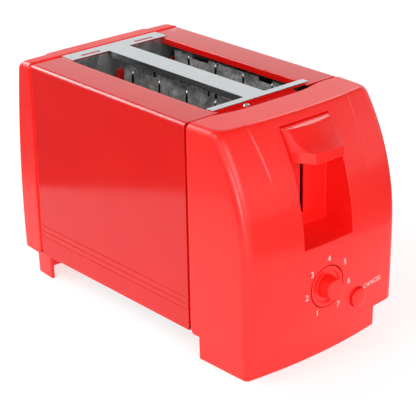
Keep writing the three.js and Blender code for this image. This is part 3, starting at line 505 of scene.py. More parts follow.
# columns of the face, from its middle out; four of them keep to the edge of the raised panel
PANEL_COLUMNS = [38.1, 38.7, 39.3, 39.9]
COLUMNS = [SLIT_HALF, 8, 13.5, 20, RECESS_HALF, 29, 34, *PANEL_COLUMNS, 50, 53.2, 56.5]
ALL_COLUMNS = [-column for column in reversed(COLUMNS)] + COLUMNS
CORNER_STEPS = 6
SIDE_POINTS = CORNER_STEPS + 3  # from the corner's start to the seam


def cap_ring(cap, z, setback, draw):
    """One level of a cap from seam to seam; points are (out, y, z)."""
    half = CAP_HALF_WIDTH - draw
    inner = half - cap.TAPER
    room = cap.face_out - setback - SEAM - 3.5
    radius = min(cap.corner, room)
    middle = inner - radius
    corner = cap.face_out + cap.bulge * (1 - (middle / inner) ** 2) - setback - radius
    foot = max(0.0, CAP_BOTTOM + cap.FOOT_ROUND - z)
    edge = SEAM + cap.FOOT_ROUND - math.sqrt(cap.FOOT_ROUND ** 2 - foot ** 2)
    right = []
    for column in COLUMNS:
        y = column + (cap.crease(z) - PANEL_FOOT if column in PANEL_COLUMNS else 0.0)
        right.append((cap.out(y, z, setback, inner), y, z))
    for i in range(CORNER_STEPS + 1):
        angle = math.pi / 2 * i / CORNER_STEPS
        right.append((corner + radius * math.cos(angle), middle + radius * math.sin(angle), z))
    for share in (0.25, 1.0):
        right.append((corner + (edge - corner) * share, inner + (half - inner) * share, z))
    return [(out, -y, z) for out, y, z in reversed(right)] + right


def round_hole(skin, cap, border, centre, steps):
    """Fills from a border in to a round hole. Steps are (radius, depth below the face)."""
    rows = [border]
    middle_y, middle_z = centre
    for radius, depth in steps:
        row = []
        for point in border:
            angle = math.atan2(point[2] - middle_z, point[1] - middle_y)
            y = middle_y + radius * math.cos(angle)
            z = middle_z + radius * math.sin(angle)
            row.append((WELL_BACK if depth is FLAT else cap.out(y, z) - depth, y, z))
        rows.append(row)
    skin.tube(rows)


def cells_of(grid, columns, levels):
    """The block of cells between two columns and between the rows nearest to two levels."""
    return [SIDE_POINTS + ALL_COLUMNS.index(column) for column in columns] + [
        min(range(len(grid)), key=lambda row: abs(grid[row][0][2] - level)) for level in levels]


def around(grid, c0, c1, l0, l1):
    """The places around a block of cells, in order."""
    return (grid[l0][c0:c1] + [row[c1] for row in grid[l0:l1]] + grid[l1][c1:c0:-1]
            + [row[c0] for row in grid[l1:l0:-1]])


def cap_recess(skin, grid, cells, slit, recess):
    """The lever's recess: its walls and its flat back, which has the slit for the arm."""
    c0, c1, l0, l1 = cells
    shift = {l0: recess["floor_rise"], l1: -recess["roof_drop"]}
    back = [[(RECESS_BACK, y, z + shift.get(level, 0)) for out, y, z in row]
            for level, row in enumerate(grid)]
    skin.cells([row[c0:c1 + 1] for row in back[l0:l1 + 1]],
               lambda i, j: slit[0] <= j + c0 < slit[1] and slit[2] <= i + l0 < slit[3])
    mouth, inner = around(grid, *cells), around(back, *cells)
    middle = [tuple(m + (i - m) * 0.5 for m, i in zip(a, b)) for a, b in zip(mouth, inner)]
    skin.tube([mouth, middle, inner])
    # the sides stay sharp just below the roof, where they are too short to round
    for rows in (grid, back):
        skin.soften([row[c0] for row in rows[l1 - 1:l0:-1]] + rows[l0][c0:c1]
                    + [row[c1] for row in rows[l0:l1]], 0.5)
    skin.soften(grid[l1][c0:c1 + 1], 0.5)
    skin.soften(around(back, *slit), 0.35, closed=True)
    for c in (c0, c1):
        skin.soften([grid[l0][c], back[l0][c]], 0.5)


def cap_ends(skin, grid, relief):
    """The foot and the top of a cap, from its face back to the seam, and their softened edges."""
    for ring, z in ((grid[0], CAP_BOTTOM), (grid[-1], CAP_TOP)):
        sunk = relief and z == CAP_TOP
        rows = [[] for i in range(4)]
        for out, y, height in ring[SIDE_POINTS - 1:1 - SIDE_POINTS]:
            edge = max(SEAM, relief_edge(y)) if sunk else SEAM
            floor = RELIEF_FLOOR if edge > SEAM else z
            for row, spot in zip(rows, ((SEAM, y, floor), (edge, y, floor), (edge, y, z),
                                        (out, y, z))):
                row.append(spot)
        skin.cells(rows, lambda i, j: sunk and i == 0 and open_gap(rows[0][j][1]))
        skin.face(*ring[:SIDE_POINTS], rows[0][0])
        skin.face(*ring[-SIDE_POINTS:], rows[0][-1])
        if sunk:
            skin.soften(rows[2], 0.5)
        skin.soften([ring[0], *rows[0], ring[-1]], 0.8 if z == CAP_TOP else 0.4)


def cap_skin(cap, holes, recess=None, relief=False):
    """The outer skin of a cap, open at the seam, with its holes, recess and relief."""
    skin = Skin()
    grid = [cap_ring(cap, *level) for level in cap.levels]
    cut = [cells_of(grid, opening["columns"], opening["levels"])
           for opening in holes + ([recess] if recess else [])]
    skin.cells(grid, lambda i, j: any(c0 <= j < c1 and l0 <= i < l1 for c0, c1, l0, l1 in cut))
    for hole, cells in zip(holes, cut):
        round_hole(skin, cap, around(grid, *cells), hole["centre"], hole["steps"])
    if recess:
        slit = cells_of(grid, (-SLIT_HALF, SLIT_HALF), recess["slit"])
        cap_recess(skin, grid, cut[-1], slit, recess)
    cap_ends(skin, grid, relief)
    for column in (0, -1):
        row = [level[column] for level in grid]
        for lower, upper in zip(row, row[1:]):
            skin.soften([lower, upper], 1.5 if lower[2] > 30 else 0.6)
    skin.soften(grid[0], 0.7)
    return skin


GAP_LOW = 29.0                  # the relief's floor is open between these, at its right end
GAP_HIGH = 46.3


def open_gap(y):
    """Whether the relief's floor is open from here on."""
    return GAP_LOW - 0.1 <= y < GAP_HIGH - 0.2


def block(low, high, soft):
    """A small moulded or folded block with softened edges."""
    skin = Skin()
    (x0, y0, z0), (x1, y1, z1) = low, high
    back, front = ([(x, y0, z0), (x, y1, z0), (x, y1, z1), (x, y0, z1)] for x in (x0, x1))
    skin.tube([back, front])
    skin.face(*back)
    skin.face(*front)
    width = min(soft, 0.45 * min(h - l for l, h in zip(low, high)))
    for row in (back, front):
        skin.soften(row, width, closed=True)
    for a, b in zip(back, front):
        skin.soften([a, b], width)
    return skin


def cap_skirt(cap, inset, bulge, start):
    """The upright wall that the cap stands on, open towards the wrap."""
    skin = Skin()
    rows = []
    half, radius, face_steps = 65.5, 4.0, 8
    face = cap.face_out - inset
    for z in (0.0, 6.0, CAP_BOTTOM - 0.2, CAP_BOTTOM + 1.0):
        draft = 0.35 * (1 - z / CAP_BOTTOM)
        inner = half - cap.TAPER - draft
        middle = inner - radius
        row = [(face - draft + bulge * (1 - (y / inner) ** 2), y, z)
               for y in (middle * i / face_steps for i in range(face_steps + 1))]
        corner = row[-1][0] - radius
        for i in range(1, CORNER_STEPS + 1):
            angle = math.pi / 2 * i / CORNER_STEPS
            row.append((corner + radius * math.cos(angle), middle + radius * math.sin(angle), z))
        row.append((start, half - draft, z))
        rows.append([(x, -y, z) for x, y, z in reversed(row[1:])] + row)
    skin.cells(rows)
    skin.soften(rows[0], 0.8)
    for end in (0, -1):
        skin.soften([row[end] for row in rows], 0.6)
    return skin


def cap_lip(sunk, stations, gap=False):
    """An inner band that follows the wrap's outline, sunk below its surface by this much."""
    skin = Skin()
    half = WRAP_HALF_WIDTH - sunk
    top = WRAP_TOP - sunk
    radius = 3.4 - sunk / 2
    outline = [(-half, 27.0), (-half, 60.0), (-half, 120.0), (-half, top - radius)]
    outline += [(-half + radius * (1 - math.cos(a)), top - radius + radius * math.sin(a))
                for a in (math.pi / 8, math.pi / 4, 3 * math.pi / 8, math.pi / 2)]
    outline += [(-GAP_HIGH, top), (-GAP_LOW, top)]
    outline += [(-y, z) for y, z in reversed(outline)]
    rows = [[(out, y, z) for y, z in outline] for out in stations]
    skin.cells(rows, lambda i, j: gap and open_gap(outline[j][0]))
    skin.soften(rows[0], 0.35)
    return skin


def relief_edge(y):
    """Where the shallow relief in the front cap's top edge ends."""
    return SEAM + RELIEF_REACH * (1 - (y / RELIEF_HALF) ** 4)


FRONT = Cap(face_out=147.4, bulge=4.8, upright=85.5, lean=157.7, top_round=4.5, corner=8.0,
            tuck=1.1, panel=0.7,
            levels=[23.5, 24, 25, 27, 31.5, 36.4, 41, 45.5, 50.1, 55, 60, 65, 70, 74.8, 79.6, 85.5,
                    91, 98, 104, 110, 116, 122, 128, 134, 140, 146, 152, 158, 164, 170, 173,
                    173.9, 174.8, 175.6])
REAR = Cap(face_out=112.6, bulge=0.9, upright=60.0, lean=850.0, top_round=9.0, corner=2.6,
           tuck=1.0, panel=2.2,
           levels=[23.5, 24, 25, 27, 30, 34.7, 38.4, 42, 45.6, 49.3, 55, 60, 70, 80, 90, 100, 110,
                   118, 126, 132, 138, 144, 150, 156, 162, 167])

to_front = Matrix.Translation((MIDDLE_X, 0, 0))
to_rear = to_front @ Matrix.Rotation(math.pi, 4, "Z")

dial_place, button_place, bush_place = (
    tuple((low + high) / 2)[1:] for low, high in (
        (dial_low, dial_high), (button_low, button_high), span("mains_lead_bush")))
WELL_RADIUS = (dial_high.y - dial_low.y) / 2 + 0.6
WELL_BACK = 148.6
FLAT = None                     # the depth that means the well's flat back
HUB_HOLE = 4.9
BUTTON_HOLE = 7.4
BUSH_HOLE = 6.3


def cap_ledge():
    """The floor of the relief, running back under the plate; it has one open screw hole."""
    skin = Skin()
    hole_start, hole_end = 1.5, 7
    across = (-44, -30, -20, -10, hole_start, hole_end, 20, GAP_LOW)
    rows = [[(SEAM - 5.1, y, 176.9), (SEAM - 3.6, y, 176.85), (SEAM - 1.0, y, 176.8),
             (relief_edge(y) - 0.1, y, 176.75)] for y in across]
    skin.cells(rows, lambda i, j: across[i] == hole_start and j == 1)
    return skin


def build_front_cap():
    """The front cap, with the dial's well, the button's hole and the lever's recess."""
    holes = [
        {"columns": (-RECESS_HALF, 20), "levels": (36.4, 79.6), "centre": dial_place,
         "steps": [(WELL_RADIUS + 0.9, 0), (WELL_RADIUS + 0.35, 0.1), (WELL_RADIUS + 0.05, 0.5),
                   (WELL_RADIUS, FLAT), (HUB_HOLE, FLAT)]},
        {"columns": (20, 50), "levels": (27, 50.1), "centre": button_place,
         "steps": [(BUTTON_HOLE + 0.8, 0), (BUTTON_HOLE + 0.3, 0.1), (BUTTON_HOLE, 0.5),
                   (BUTTON_HOLE, 2.4)]},
    ]
    recess = {"columns": (-RECESS_HALF, RECESS_HALF), "levels": (91, 173), "floor_rise": 3.2,
              "roof_drop": 1.8, "slit": (104, 170)}
    skin = cap_skin(FRONT, holes, recess, relief=True)
    skirt = cap_skirt(FRONT, inset=10.4, bulge=5.0, start=SEAM)
    lip = cap_lip(1.5, (SEAM - 5.6, SEAM, SEAM + 3.0), gap=True)
    # the ledge's darker red is painted shade, for where it lies sunk under the plate
    build("front_cap_ledge", [(cap_ledge(), 0.5)], SHADED_MATT_PLASTIC, "red_plastic", turn=to_front,
          inside=(SEAM, 0, 90))
    build("front_cap_shell", [(skin, 2.0), (skirt, 3.0), (lip, 2.0)], RED_PLASTIC, "red_plastic",
          stands_for=["front_end_cap"], turn=to_front, inside=(SEAM, 0, 90))


def build_rear_cap():
    """The rear cap, with the hole for the mains lead's bush."""
    bush_y, bush_z = bush_place
    holes = [{"columns": (RECESS_HALF, 50), "levels": (34.7, 49.3), "centre": (-bush_y, bush_z),
              "steps": [(BUSH_HOLE + 0.5, 0), (BUSH_HOLE, 0.4), (BUSH_HOLE, 0.8)]}]
    skin = cap_skin(REAR, holes)
    skirt = cap_skirt(REAR, inset=3.9, bulge=0.9, start=SEAM - 1.5)
    lip = cap_lip(1.5, (SEAM - 5.6, SEAM, SEAM + 3.0))
    bead = cap_lip(0.35, (SEAM - 2.2, SEAM, SEAM + 1.8))
    # two pegs reach through the rear chassis plate; their ends show in the slots
    end_plate = MIDDLE_X - span("rear_chassis_plate")[1].x
    pegs = [block((end_plate - 1.2, y - 3.6, z), (end_plate, y + 3.6, z + 10), 1.2)
            for y, z in ((-2.0, 151.0), (-56.0, 149.0))]
    build("rear_cap_shell", [(skin, 2.0), (skirt, 3.0), (lip, 1.8), (bead, 0.9)]
          + [(peg, 0) for peg in pegs],
          RED_PLASTIC, "red_plastic", stands_for=["rear_end_cap"], inside=(SEAM, 0, 90),
          turn=to_rear)


# -------- steel wrap and top plate
GROOVES = (40.3, 44.9, 49.5)
GROOVE_SHAPE = ((-0.75, 0), (-0.4, 0.28), (0, 0.42), (0.4, 0.28), (0.75, 0))    # (rise, depth)
FOLD = 0.8                      # rounding of the slots' edges
FLANGE = 4.9
PLATE_SHEET = 0.55
PLATE_LEFT = -43.7
PLATE_RIGHT = 46.8
SLITS = (-6.2, -3.1)            # from the slots' rear ends
SLITS_ACROSS = ((-32.2, -14.7), (18.6, 36.1))


def flat(skin, stations, across, top, left_out):
    """A flat sheet cut into cells; each cell's low corner and middle say whether it is left out."""
    for x0, x1 in zip(stations, stations[1:]):
        for y0, y1 in zip(across, across[1:]):
            if not left_out(x0, y0, abs(y0 + y1) / 2):
                skin.face((x0, y0, top), (x1, y0, top), (x1, y1, top), (x0, y1, top))


def wrap_side():
    """One side of the wrap from its bottom lip to its top corner, as (y, z)."""
    half, bottom, radius, steps = WRAP_HALF_WIDTH, wrap_low.z, WRAP_ROUND, 6
    side = [(8 - half, bottom), (0.8 - half, bottom), (0.23 - half, bottom + 0.23),
            (-half, bottom + 0.8)]
    for groove in GROOVES:
        side += [(depth - half, groove + rise) for rise, depth in GROOVE_SHAPE]
    side += [(-half, 80), (-half, 120), (-half, WRAP_TOP - radius)]
    for i in range(1, steps + 1):
        angle = math.pi / 2 * i / steps
        side.append((radius * (1 - math.cos(angle)) - half,
                     WRAP_TOP - radius * (1 - math.sin(angle))))
    return side


def build_wrap():
    """The enamelled sheet: pin-line grooves along both sides, slots' edges turned down."""
    skin = Skin()
    side, top, edge = wrap_side(), WRAP_TOP, SLOT_OUTER
    opening = (SLOT_REAR - 2, SLOT_FRONT + 2)
    notch = WRAP_HALF_LENGTH - 2.8 + MIDDLE_X
    stations = [wrap_low.x, opening[0], -60.0, -20.0, 20.0, opening[1], notch, wrap_high.x]
    for turn in (1, -1):
        rows = [[(x, y * turn, z) for y, z in side] for x in stations]
        skin.cells(rows)
        for row in (rows[0], rows[-1], [row[0] for row in rows]):
            skin.soften(row, 0.3)
    half = WRAP_HALF_WIDTH - WRAP_ROUND
    flat(skin, stations,
         [-half, -56.0, -edge - FOLD, -42.0, 0.0, 42.0, edge + FOLD, 56.0, half], top,
         lambda x, y, middle: (opening[0] <= x < opening[1] and middle < edge + FOLD)
         or (x >= notch and middle < 42.0))
    for turn in (1, -1):
        skin.cells([[(x, turn * y, z) for y, z in (
            (edge + FOLD, top), (edge + 0.4, top - 0.11), (edge + 0.11, top - 0.4),
            (edge, top - FOLD), (edge, top - FLANGE))] for x in stations[1:6]])
    # two tabs of the sheet stand up through the plate's slits and hold it down
    tabs = [block((SLOT_REAR + SLITS[0] + 0.15, start + 0.3, top - 0.3),
                  (SLOT_REAR + SLITS[1] - 0.15, end - 0.3, plate_high.z - 0.25), 0.3)
            for start, end in SLITS_ACROSS]
    build("wrap_sheet", [(skin, SHEET)] + [(tab, 0) for tab in tabs], RED_ENAMEL, "red_enamel",
          stands_for=["body_wrap"], inside=(MIDDLE_X, 0, 60))


def build_plate():
    """The bright frame: two cross pieces joined by the bar between the slots, edges turned down."""
    skin = Skin()
    top = plate_high.z
    slit = (SLOT_REAR + SLITS[0], SLOT_REAR + SLITS[1])
    bar = (SLOT_REAR + 3, SLOT_FRONT - 3)
    flat(skin, [plate_low.x + 0.9, *slit, SLOT_REAR, bar[0], -20.0, bar[1], SLOT_FRONT,
                plate_high.x - 1.7],
         [PLATE_LEFT, *SLITS_ACROSS[0], -SLOT_INNER, 0, SLOT_INNER, *SLITS_ACROSS[1], PLATE_RIGHT],
         top, lambda x, y, middle: (SLOT_REAR <= x < SLOT_FRONT and middle > SLOT_INNER)
         or (x == slit[0] and y in (SLITS_ACROSS[0][0], SLITS_ACROSS[1][0])))
    folds = []
    for edge in (SLOT_INNER, -SLOT_INNER):
        fold = Skin()
        fold.cells([[(x, edge, z) for x in bar] for z in (top - PLATE_SHEET, plate_low.z)])
        folds.append(fold)
    build("slot_plate", [(sheet, PLATE_SHEET) for sheet in (skin, *folds)], BRIGHT_STEEL,
          "bright_steel", stands_for=["top_plate"], inside=(MIDDLE_X, 0, 100))


# -------- lever knob
def curve(start, bend, end, share):
    """A place along a bent line between two points."""
    a, b, c = Vector(start), Vector(bend), Vector(end)
    return a * (1 - share) ** 2 + b * 2 * share * (1 - share) + c * share ** 2


LIP_HEIGHT = 7.2
BROW_DROP = 1.0
BACK_DROP = 3.0


def beak_rows():
    """Half the beak in rows from its ridge down to its foot, each from the side to the middle."""
    back, nose, wide = knob_low.x, knob_high.x, knob_high.y
    top, lip = knob_high.z, knob_low.z + LIP_HEIGHT
    # four lines down the beak, each with its start, its bend and its end
    cheek = (back + 0.6, wide, top), (back + 7, wide, lip + 4), (back + 12.4, wide, lip)
    flank = ((back + 3.2, wide - 0.9, top), (back + 13, wide - 1.4, lip + 1),
             (back + 18, wide - 4.2, lip))
    crease = ((back + 6.2, wide - 2.4, top), (back + 13.8, wide - 3.4, lip + 2),
              (nose - 1.6, wide - 9.2, lip))
    middle = (back + 7.9, 0, top), (back + 14.5, 0, lip + 5.5), (nose - 0.6, 0, lip)
    across, steps = 5, 8
    rows = []
    for i in range(steps + 1):
        share = i / steps
        side, edge = curve(*crease, share), curve(*middle, share)
        row = [curve(*cheek, share), curve(*flank, share)]
        for k in range(across, 0, -1):
            part = k / across
            bow = part ** (1.25 + 0.75 * share)
            row.append(Vector((edge.x + (side.x - edge.x) * bow, side.y * part,
                               edge.z + (side.z - edge.z) * bow)))
        rows.append(row + [edge])
    brow = [Vector((back + 0.9, p.y, top - 0.3)) for p in rows[0]]
    for p in rows[0]:
        p.z = top - 0.3 - BROW_DROP * (1 - (p.y / wide) ** 4)
    foot = [(back + 13, wide), (back + 18.6, wide - 3.8)]
    foot += [(nose - 0.4 * (k / across) ** 2, (wide - 9) * k / across)
             for k in range(across, -1, -1)]
    return [brow, *rows, [Vector((x, y, knob_low.z)) for x, y in foot]]


def build_knob():
    """The lever's beak: steep below its ridge, then a finger lip, with a crease each side."""
    skin = Skin()
    back, wide = knob_low.x, knob_high.y
    whole = []
    for row in beak_rows():
        height = min(row[0].z, knob_high.z - BACK_DROP)
        whole.append([(back, -wide, height), *((p.x, -p.y, p.z) for p in row),
                      *(tuple(p) for p in row[-2::-1]), (back, wide, height)])
    skin.cells(whole)
    skin.face(*whole[0])
    skin.face(*whole[-1])
    skin.face(*[row[0] for row in whole], *[row[-1] for row in reversed(whole)])
    for row, radius in ((1, 0.5), (-1, 0.6), (-2, 0.6)):
        skin.soften(whole[row], radius)
    for column in (3, -4):
        skin.soften([row[column] for row in whole], 0.5)
    build("lever_beak", [(skin, 0)], RED_PLASTIC, "red_plastic", body="carriage",
          stands_for=["lever_knob"], inside=(back + 6, 0, knob_low.z + 6))


# -------- turned pieces
def turned(name, profile, centre, body, node, sides=64):
    """A piece turned about a line along X. The profile is (x, radius), from back to front."""
    skin = Skin()
    y, z = centre
    angles = [math.tau * i / sides for i in range(sides)]
    skin.tube([[(x, y + radius * math.cos(a), z + radius * math.sin(a)) for a in angles]
               for x, radius in profile])
    middle = (profile[0][0] + profile[-1][0]) / 2
    build(name, [(skin, 0)], RED_PLASTIC, "red_plastic", body=body, stands_for=[node],
          inside=(middle, y, z))


def rounded(corners, radius, steps=3):
    """A profile with each inner corner rounded."""
    done = [corners[0]]
    points = [Vector(p) for p in corners]
    for a, b, c in zip(points, points[1:], points[2:]):
        reach = min(radius, (a - b).length * 0.45, (c - b).length * 0.45)
        start, end = b + (a - b).normalized() * reach, b + (c - b).normalized() * reach
        done += [tuple(curve(start, b, end, i / steps)) for i in range(steps + 1)]
    return done + [corners[-1]]


def build_dial():
    """The browning dial: a ring flush with the face, a groove, a grip that narrows forwards."""
    back, front = dial_low.x, dial_high.x
    rim = (dial_high.y - dial_low.y) / 2 - 0.05
    hub = HUB_HOLE - 0.3
    seat = back + 8.3
    ring = seat + 3.0
    groove = ring - 1.6
    corners = [(back, 0), (back, hub), (seat, hub), (seat, rim), (ring, rim), (ring, 12.2),
               (groove, 11.7), (groove, 8.5), (front, 7.1), (front, 0)]
    turned("dial_grip", rounded(corners, 0.6), dial_place, "dial", "browning_dial")


def build_button():
    """The cancel button: a round cap with a slightly domed front."""
    back, front = button_low.x, button_high.x
    shoulder, side = 8.4, 7.05
    corners = [(back, 0), (back, 3), (front - 9, 3), (front - 9, shoulder), (front - 8, shoulder),
               (front - 8, side), (front - 0.7, side), (front - 0.1, 4.6), (front, 0)]
    turned("cancel_cap", rounded(corners, 1.1), button_place, "button", "cancel_button")


# -------- lettering
CAPITAL_SHARE = 0.72            # a capital's height as a share of the type size
INK_LIFT = 0.06


def lettering(name, words, centre, height, climb=0.0, **font):
    """Printed characters laid on the front cap's face, around a centre (y, z)."""
    text = bpy.data.curves.new(name, "FONT")
    text.body = words
    text.size = height / CAPITAL_SHARE
    text.resolution_u = 6
    for setting, value in font.items():
        setattr(text, setting, value)
    letters = show(name, text)
    graph = bpy.context.evaluated_depsgraph_get()
    mesh = bpy.data.meshes.new_from_object(letters.evaluated_get(graph))
    bpy.data.curves.remove(text)
    work = bmesh.new()
    work.from_mesh(mesh)
    bpy.data.meshes.remove(mesh)
    middle = [(min(v.co[i] for v in work.verts) + max(v.co[i] for v in work.verts)) / 2
              for i in (0, 1)]
    for vert in work.verts:
        y = centre[0] + vert.co.x - middle[0]
        z = centre[1] + vert.co.y - middle[1] + climb * (y - centre[0])
        vert.co = Vector((FRONT.out(y, z) + MIDDLE_X + INK_LIFT, y, z)) * MM
    bmesh.ops.recalc_face_normals(work, faces=work.faces)
    if sum(f.normal.x for f in work.faces) < 0:
        bmesh.ops.reverse_faces(work, faces=work.faces)
    mesh = bpy.data.meshes.new(name)
    work.to_mesh(mesh)
    work.free()
    modify(place(name, mesh, INK, "white_plastic"), "SOLIDIFY", thickness=0.05 * MM, offset=-1)


def build_lettering():
    """The numbers around the dial and the word beside the button."""
    middle_y, middle_z, radius = -0.5, 58.2, 20.6
    for number, turn in enumerate((-150, -98, -50, 0, 50, 98, 150), 1):
        angle = math.radians(turn)
        spot = (middle_y + radius * math.sin(angle), middle_z + radius * math.cos(angle))
        lettering(f"setting_{number}", str(number), spot, 4.6)
    lettering("cancel_word", "CANCEL", (46, 44.9), 3.5, climb=0.05, shear=0.25,
              space_character=1.12, offset=0.06)


# -------- wire work
def wires(name, paths, radius, material, stands_for, sides=10):
    """Round wires along paths of points, each with rounded ends, as one piece."""
    skin = Skin()
    for path in paths:
        points = [Vector(p) for p in path]
        rows = []
        side = None
        for i, point in enumerate(points):
            ahead = points[min(i + 1, len(points) - 1)] - points[max(i - 1, 0)]
            ahead.normalize()
            side = side or ahead.orthogonal().normalized()
            side = (side - ahead * side.dot(ahead)).normalized()
            up = ahead.cross(side)
            ring = [point + (side * math.cos(t) + up * math.sin(t)) * radius
                    for t in (math.tau * k / sides for k in range(sides))]
            rows.append(ring)
            if i in (0, len(points) - 1):
                ahead *= radius if i else -radius
                end = [[point + ahead * out + (r - point) * share for r in ring]
                       for share, out in ((0.75, 0.55), (0.35, 0.9))]
                rows = rows + end if i else end[::-1] + rows
        skin.tube(rows)
        for row in (rows[0], rows[-1]):
            skin.face(*row)
    return place(name, skin.mesh(name)[0], material, "spring_steel", stands_for=stands_for)


GUARD_END = 28.7                # from a slot's end to the first upright


def build_guard(node, toward):
    """A bread guard: two long wires and four uprights whose tips hook away from the bread."""
    low, high = span(node)
    y = (low.y + high.y) / 2
    radius = (high.y - low.y) / 2
    count = 4
    pitch = (SLOT_FRONT - SLOT_REAR - 2 * GUARD_END) / (count - 1)
    middle = (SLOT_FRONT + SLOT_REAR) / 2
    base, top = low.z + radius, high.z - radius
    paths = [[(low.x + radius, y, z), (high.x - radius, y, z)]
             for z in (base, (base + top + radius) / 2)]
    hook = ((0, 2.2), (0.15, 1.2), (0.7, 0.3), (1.6, 0))    # (sideways, below the top)
    for i in range(count):
        x = middle + (i - (count - 1) / 2) * pitch
        paths.append([(x, y, base), (x, y, 100)]
                     + [(x, y + toward * aside, top - drop) for aside, drop in hook])
    # the uprights' wire carries painted shade below their tips
    wires(node + "_wires", paths, radius, SHADED_WIRE, [node])


def build_spring():
    """The return spring: closed end coils and open turns between."""
    low, high = span("carriage_spring")
    middle_x = span("carriage_guide_rod")[0].x + 2.5
    middle_y = (low.y + high.y) / 2
    radius, wire, turns, turn_steps = 4.0, 0.7, 11, 16
    bottom, top = low.z + wire, high.z - wire
    path = []
    for i in range(turns * turn_steps + 1):
        share = i / (turns * turn_steps)
        angle = math.tau * turns * share
        # the first and last turn lie flat, as ground ends do
        run = min(1, max(0, (share * turns - 0.7) / (turns - 1.4)))
        path.append((middle_x + radius * math.cos(angle), middle_y + radius * math.sin(angle),
                     bottom + (top - bottom) * run))
    piece = wires("return_spring", [path], wire, SPRING_STEEL, ["carriage_spring"], sides=8)
    piece.parent = None
    piece.matrix_world = Matrix.Identity(4)
    del piece["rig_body"]
    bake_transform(piece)


# -------- kept CAD nodes
KEPT = [
    (GALVANISED, "base_plate crumb_tray front_chassis_plate rear_chassis_plate left_reflector "
                 "right_reflector left_bread_rack right_bread_rack carriage_bracket lever_arm "
                 "browning_potentiometer"),
    (SPRING_STEEL, "crumb_tray_hinge_pin magnet_keeper carriage_guide_rod magnet_core "
                   "rear_contact_blade front_contact_blade"),
    (MICA, "left_element_board centre_element_board right_element_board"),
    (NICHROME, "left_outer_heating_ribbon left_inner_heating_ribbon right_inner_heating_ribbon "
               "right_outer_heating_ribbon"),
    (COPPER, "magnet_coil"),
    (PHENOLIC, "mains_contact_block"),
    (LAMINATE, "circuit_board"),
    (WHITE_PLASTIC, "potentiometer_shaft dropper_capacitor"),
    (BLACK_PLASTIC, "contact_presser cancel_switch timer_chip mains_lead_bush"),
    (SCREW_ZINC, "front_left_cap_screw front_right_cap_screw rear_left_cap_screw "
                 "rear_right_cap_screw front_top_screw left_board_screw right_board_screw"),
]
KEPT_SOFT = 0.12                # rounding of their edges
KEPT_SHARP = math.radians(35)


def dress_kept_nodes():
    """Gives the nodes that stay as they are their materials and softened edges."""
    for material, names in KEPT:
        for node in (nodes[name] for name in names.split()):
            node.data.materials.clear()
            node.data.materials.append(material)
            modify(node, "WELD", merge_threshold=0.00001)
            modify(node, "BEVEL", width=KEPT_SOFT * MM, segments=2, limit_method="ANGLE",
                   angle_limit=KEPT_SHARP, use_clamp_overlap=True)
            node.data.shade_smooth()
            modify(node, "WEIGHTED_NORMAL", keep_sharp=True)


# -------- studio
VIEW_TURN = math.radians(130.87)    # the pale strip of the table runs along the view
STRIP_HALF = 0.31
STRIP_EDGE = 0.015
TABLE_HALF = 6.0


def build_table():
    """A pale strip of table, lit from below as by a light box, with a grey surround."""
    size = TABLE_HALF
    mesh = bpy.data.meshes.new("table")
    mesh.from_pydata([(-size, -size, 0), (size, -size, 0), (size, size, 0), (-size, size, 0)], [],
                     [(0, 1, 2, 3)])
    table = show("table", mesh)
    top = Surface("pale_table", Roughness=0.9, Emission_Strength=1.0)
    along = add(top, "Mapping", {"Vector": top.where, "Rotation": (0, 0, VIEW_TURN)})
    apart = add(top, "SeparateXYZ", {"Vector": along})
    side = add(top, "Math", {0: apart}, operation="ABSOLUTE")
    share = add(top, "MapRange", {"Value": side, "From Min": STRIP_HALF,
                                  "From Max": STRIP_HALF + STRIP_EDGE},
                interpolation_type="SMOOTHSTEP")
    tone, glow = (add(top, "ValToRGB", {"Fac": share}, ((0, on), (1, off)))
                  for on, off in (("#BCBCBC", "#868686"), (0.66, 0.0)))
    mesh.materials.append(top.finish(Base_Color=tone, Emission_Color=glow))


def build_world():
    """Soft light all round, bright low down and dim overhead."""
    world = bpy.data.worlds.new("studio_light")
    bpy.context.scene.world = world
    world.use_nodes = True
    world.node_tree.nodes.clear()
    where = add(world, "TexCoord").outputs["Generated"]
    height = add(world, "SeparateXYZ", {0: where}).outputs["Z"]
    sky = add(world, "ValToRGB", {"Fac": height}, ((0.2, 1.25), (0.65, 0.24)))
    glow = add(world, "Background", {"Color": sky})
    add(world, "OutputWorld", {"Surface": glow})


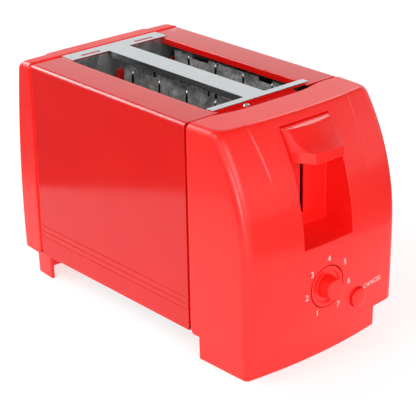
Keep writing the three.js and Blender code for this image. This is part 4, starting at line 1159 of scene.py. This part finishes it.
def area(name, spot, target, width, depth, power, on_flats=True):
    """A softbox; one that isn't on_flats only shines in the polished edges."""
    light = bpy.data.lights.new(name, "AREA")
    light.shape = "RECTANGLE"
    light.size = width
    light.size_y = depth
    light.energy = power
    lamp = show(name, light)
    lamp.location = spot
    lamp.rotation_euler = (Vector(target) - Vector(spot)).to_track_quat("-Z", "Y").to_euler()
    lamp.visible_diffuse = on_flats


def studio():
    """A table, a world, three softboxes and three more that only shine in polished edges."""
    build_table()
    build_world()
    area("overhead_softbox", (0.0, -0.9, 1.1), (0, 0, 0.1), 0.4, 0.4, 4)
    area("front_softbox", (1.8, -0.4, 0.9), (0, 0, 0.1), 1.0, 0.8, 12.5)
    area("back_left_softbox", (-1.3, -0.5, 1.0), (0, 0, 0.15), 0.9, 0.4, 7)
    area("edge_softbox", (-1.3, -0.5, 1.05), (0, 0, 0.17), 1.1, 0.9, 16, on_flats=False)
    area("back_softbox", (-0.75, 1.3, 1.25), (0.1, 0, 0.17), 0.5, 0.3, 3.2, on_flats=False)
    area("corner_softbox", (1.0, -1.2, 0.3), (0.1, 0, 0.15), 0.35, 0.5, 6, on_flats=False)


def camera():
    """The camera, at the three-quarter angle from front left and above."""
    lens = bpy.data.cameras.new("camera")
    lens.lens = 128.29
    lens.sensor_width = 36
    lens.clip_start = 0.05
    eye = show("camera", lens)
    right = Vector((0.65998, 0.75108, -0.01758))
    down = Vector((0.28626, -0.27303, -0.91843))
    turn = Matrix((right, -down, down.cross(right))).transposed().to_4x4()
    eye.matrix_world = Matrix.Translation((0.78935 + MIDDLE_X * MM, -0.6603, 0.5110)) @ turn
    bpy.context.scene.camera = eye
    bpy.context.scene.view_settings.view_transform = "Standard"


build_front_cap()
build_rear_cap()
build_wrap()
build_plate()
build_knob()
build_dial()
build_button()
build_lettering()
for guard, toward in (("left_outer", -1), ("left_inner", 1), ("right_inner", -1),
                      ("right_outer", 1)):
    build_guard(guard + "_bread_guard", toward)
build_spring()
dress_kept_nodes()
studio()
camera()
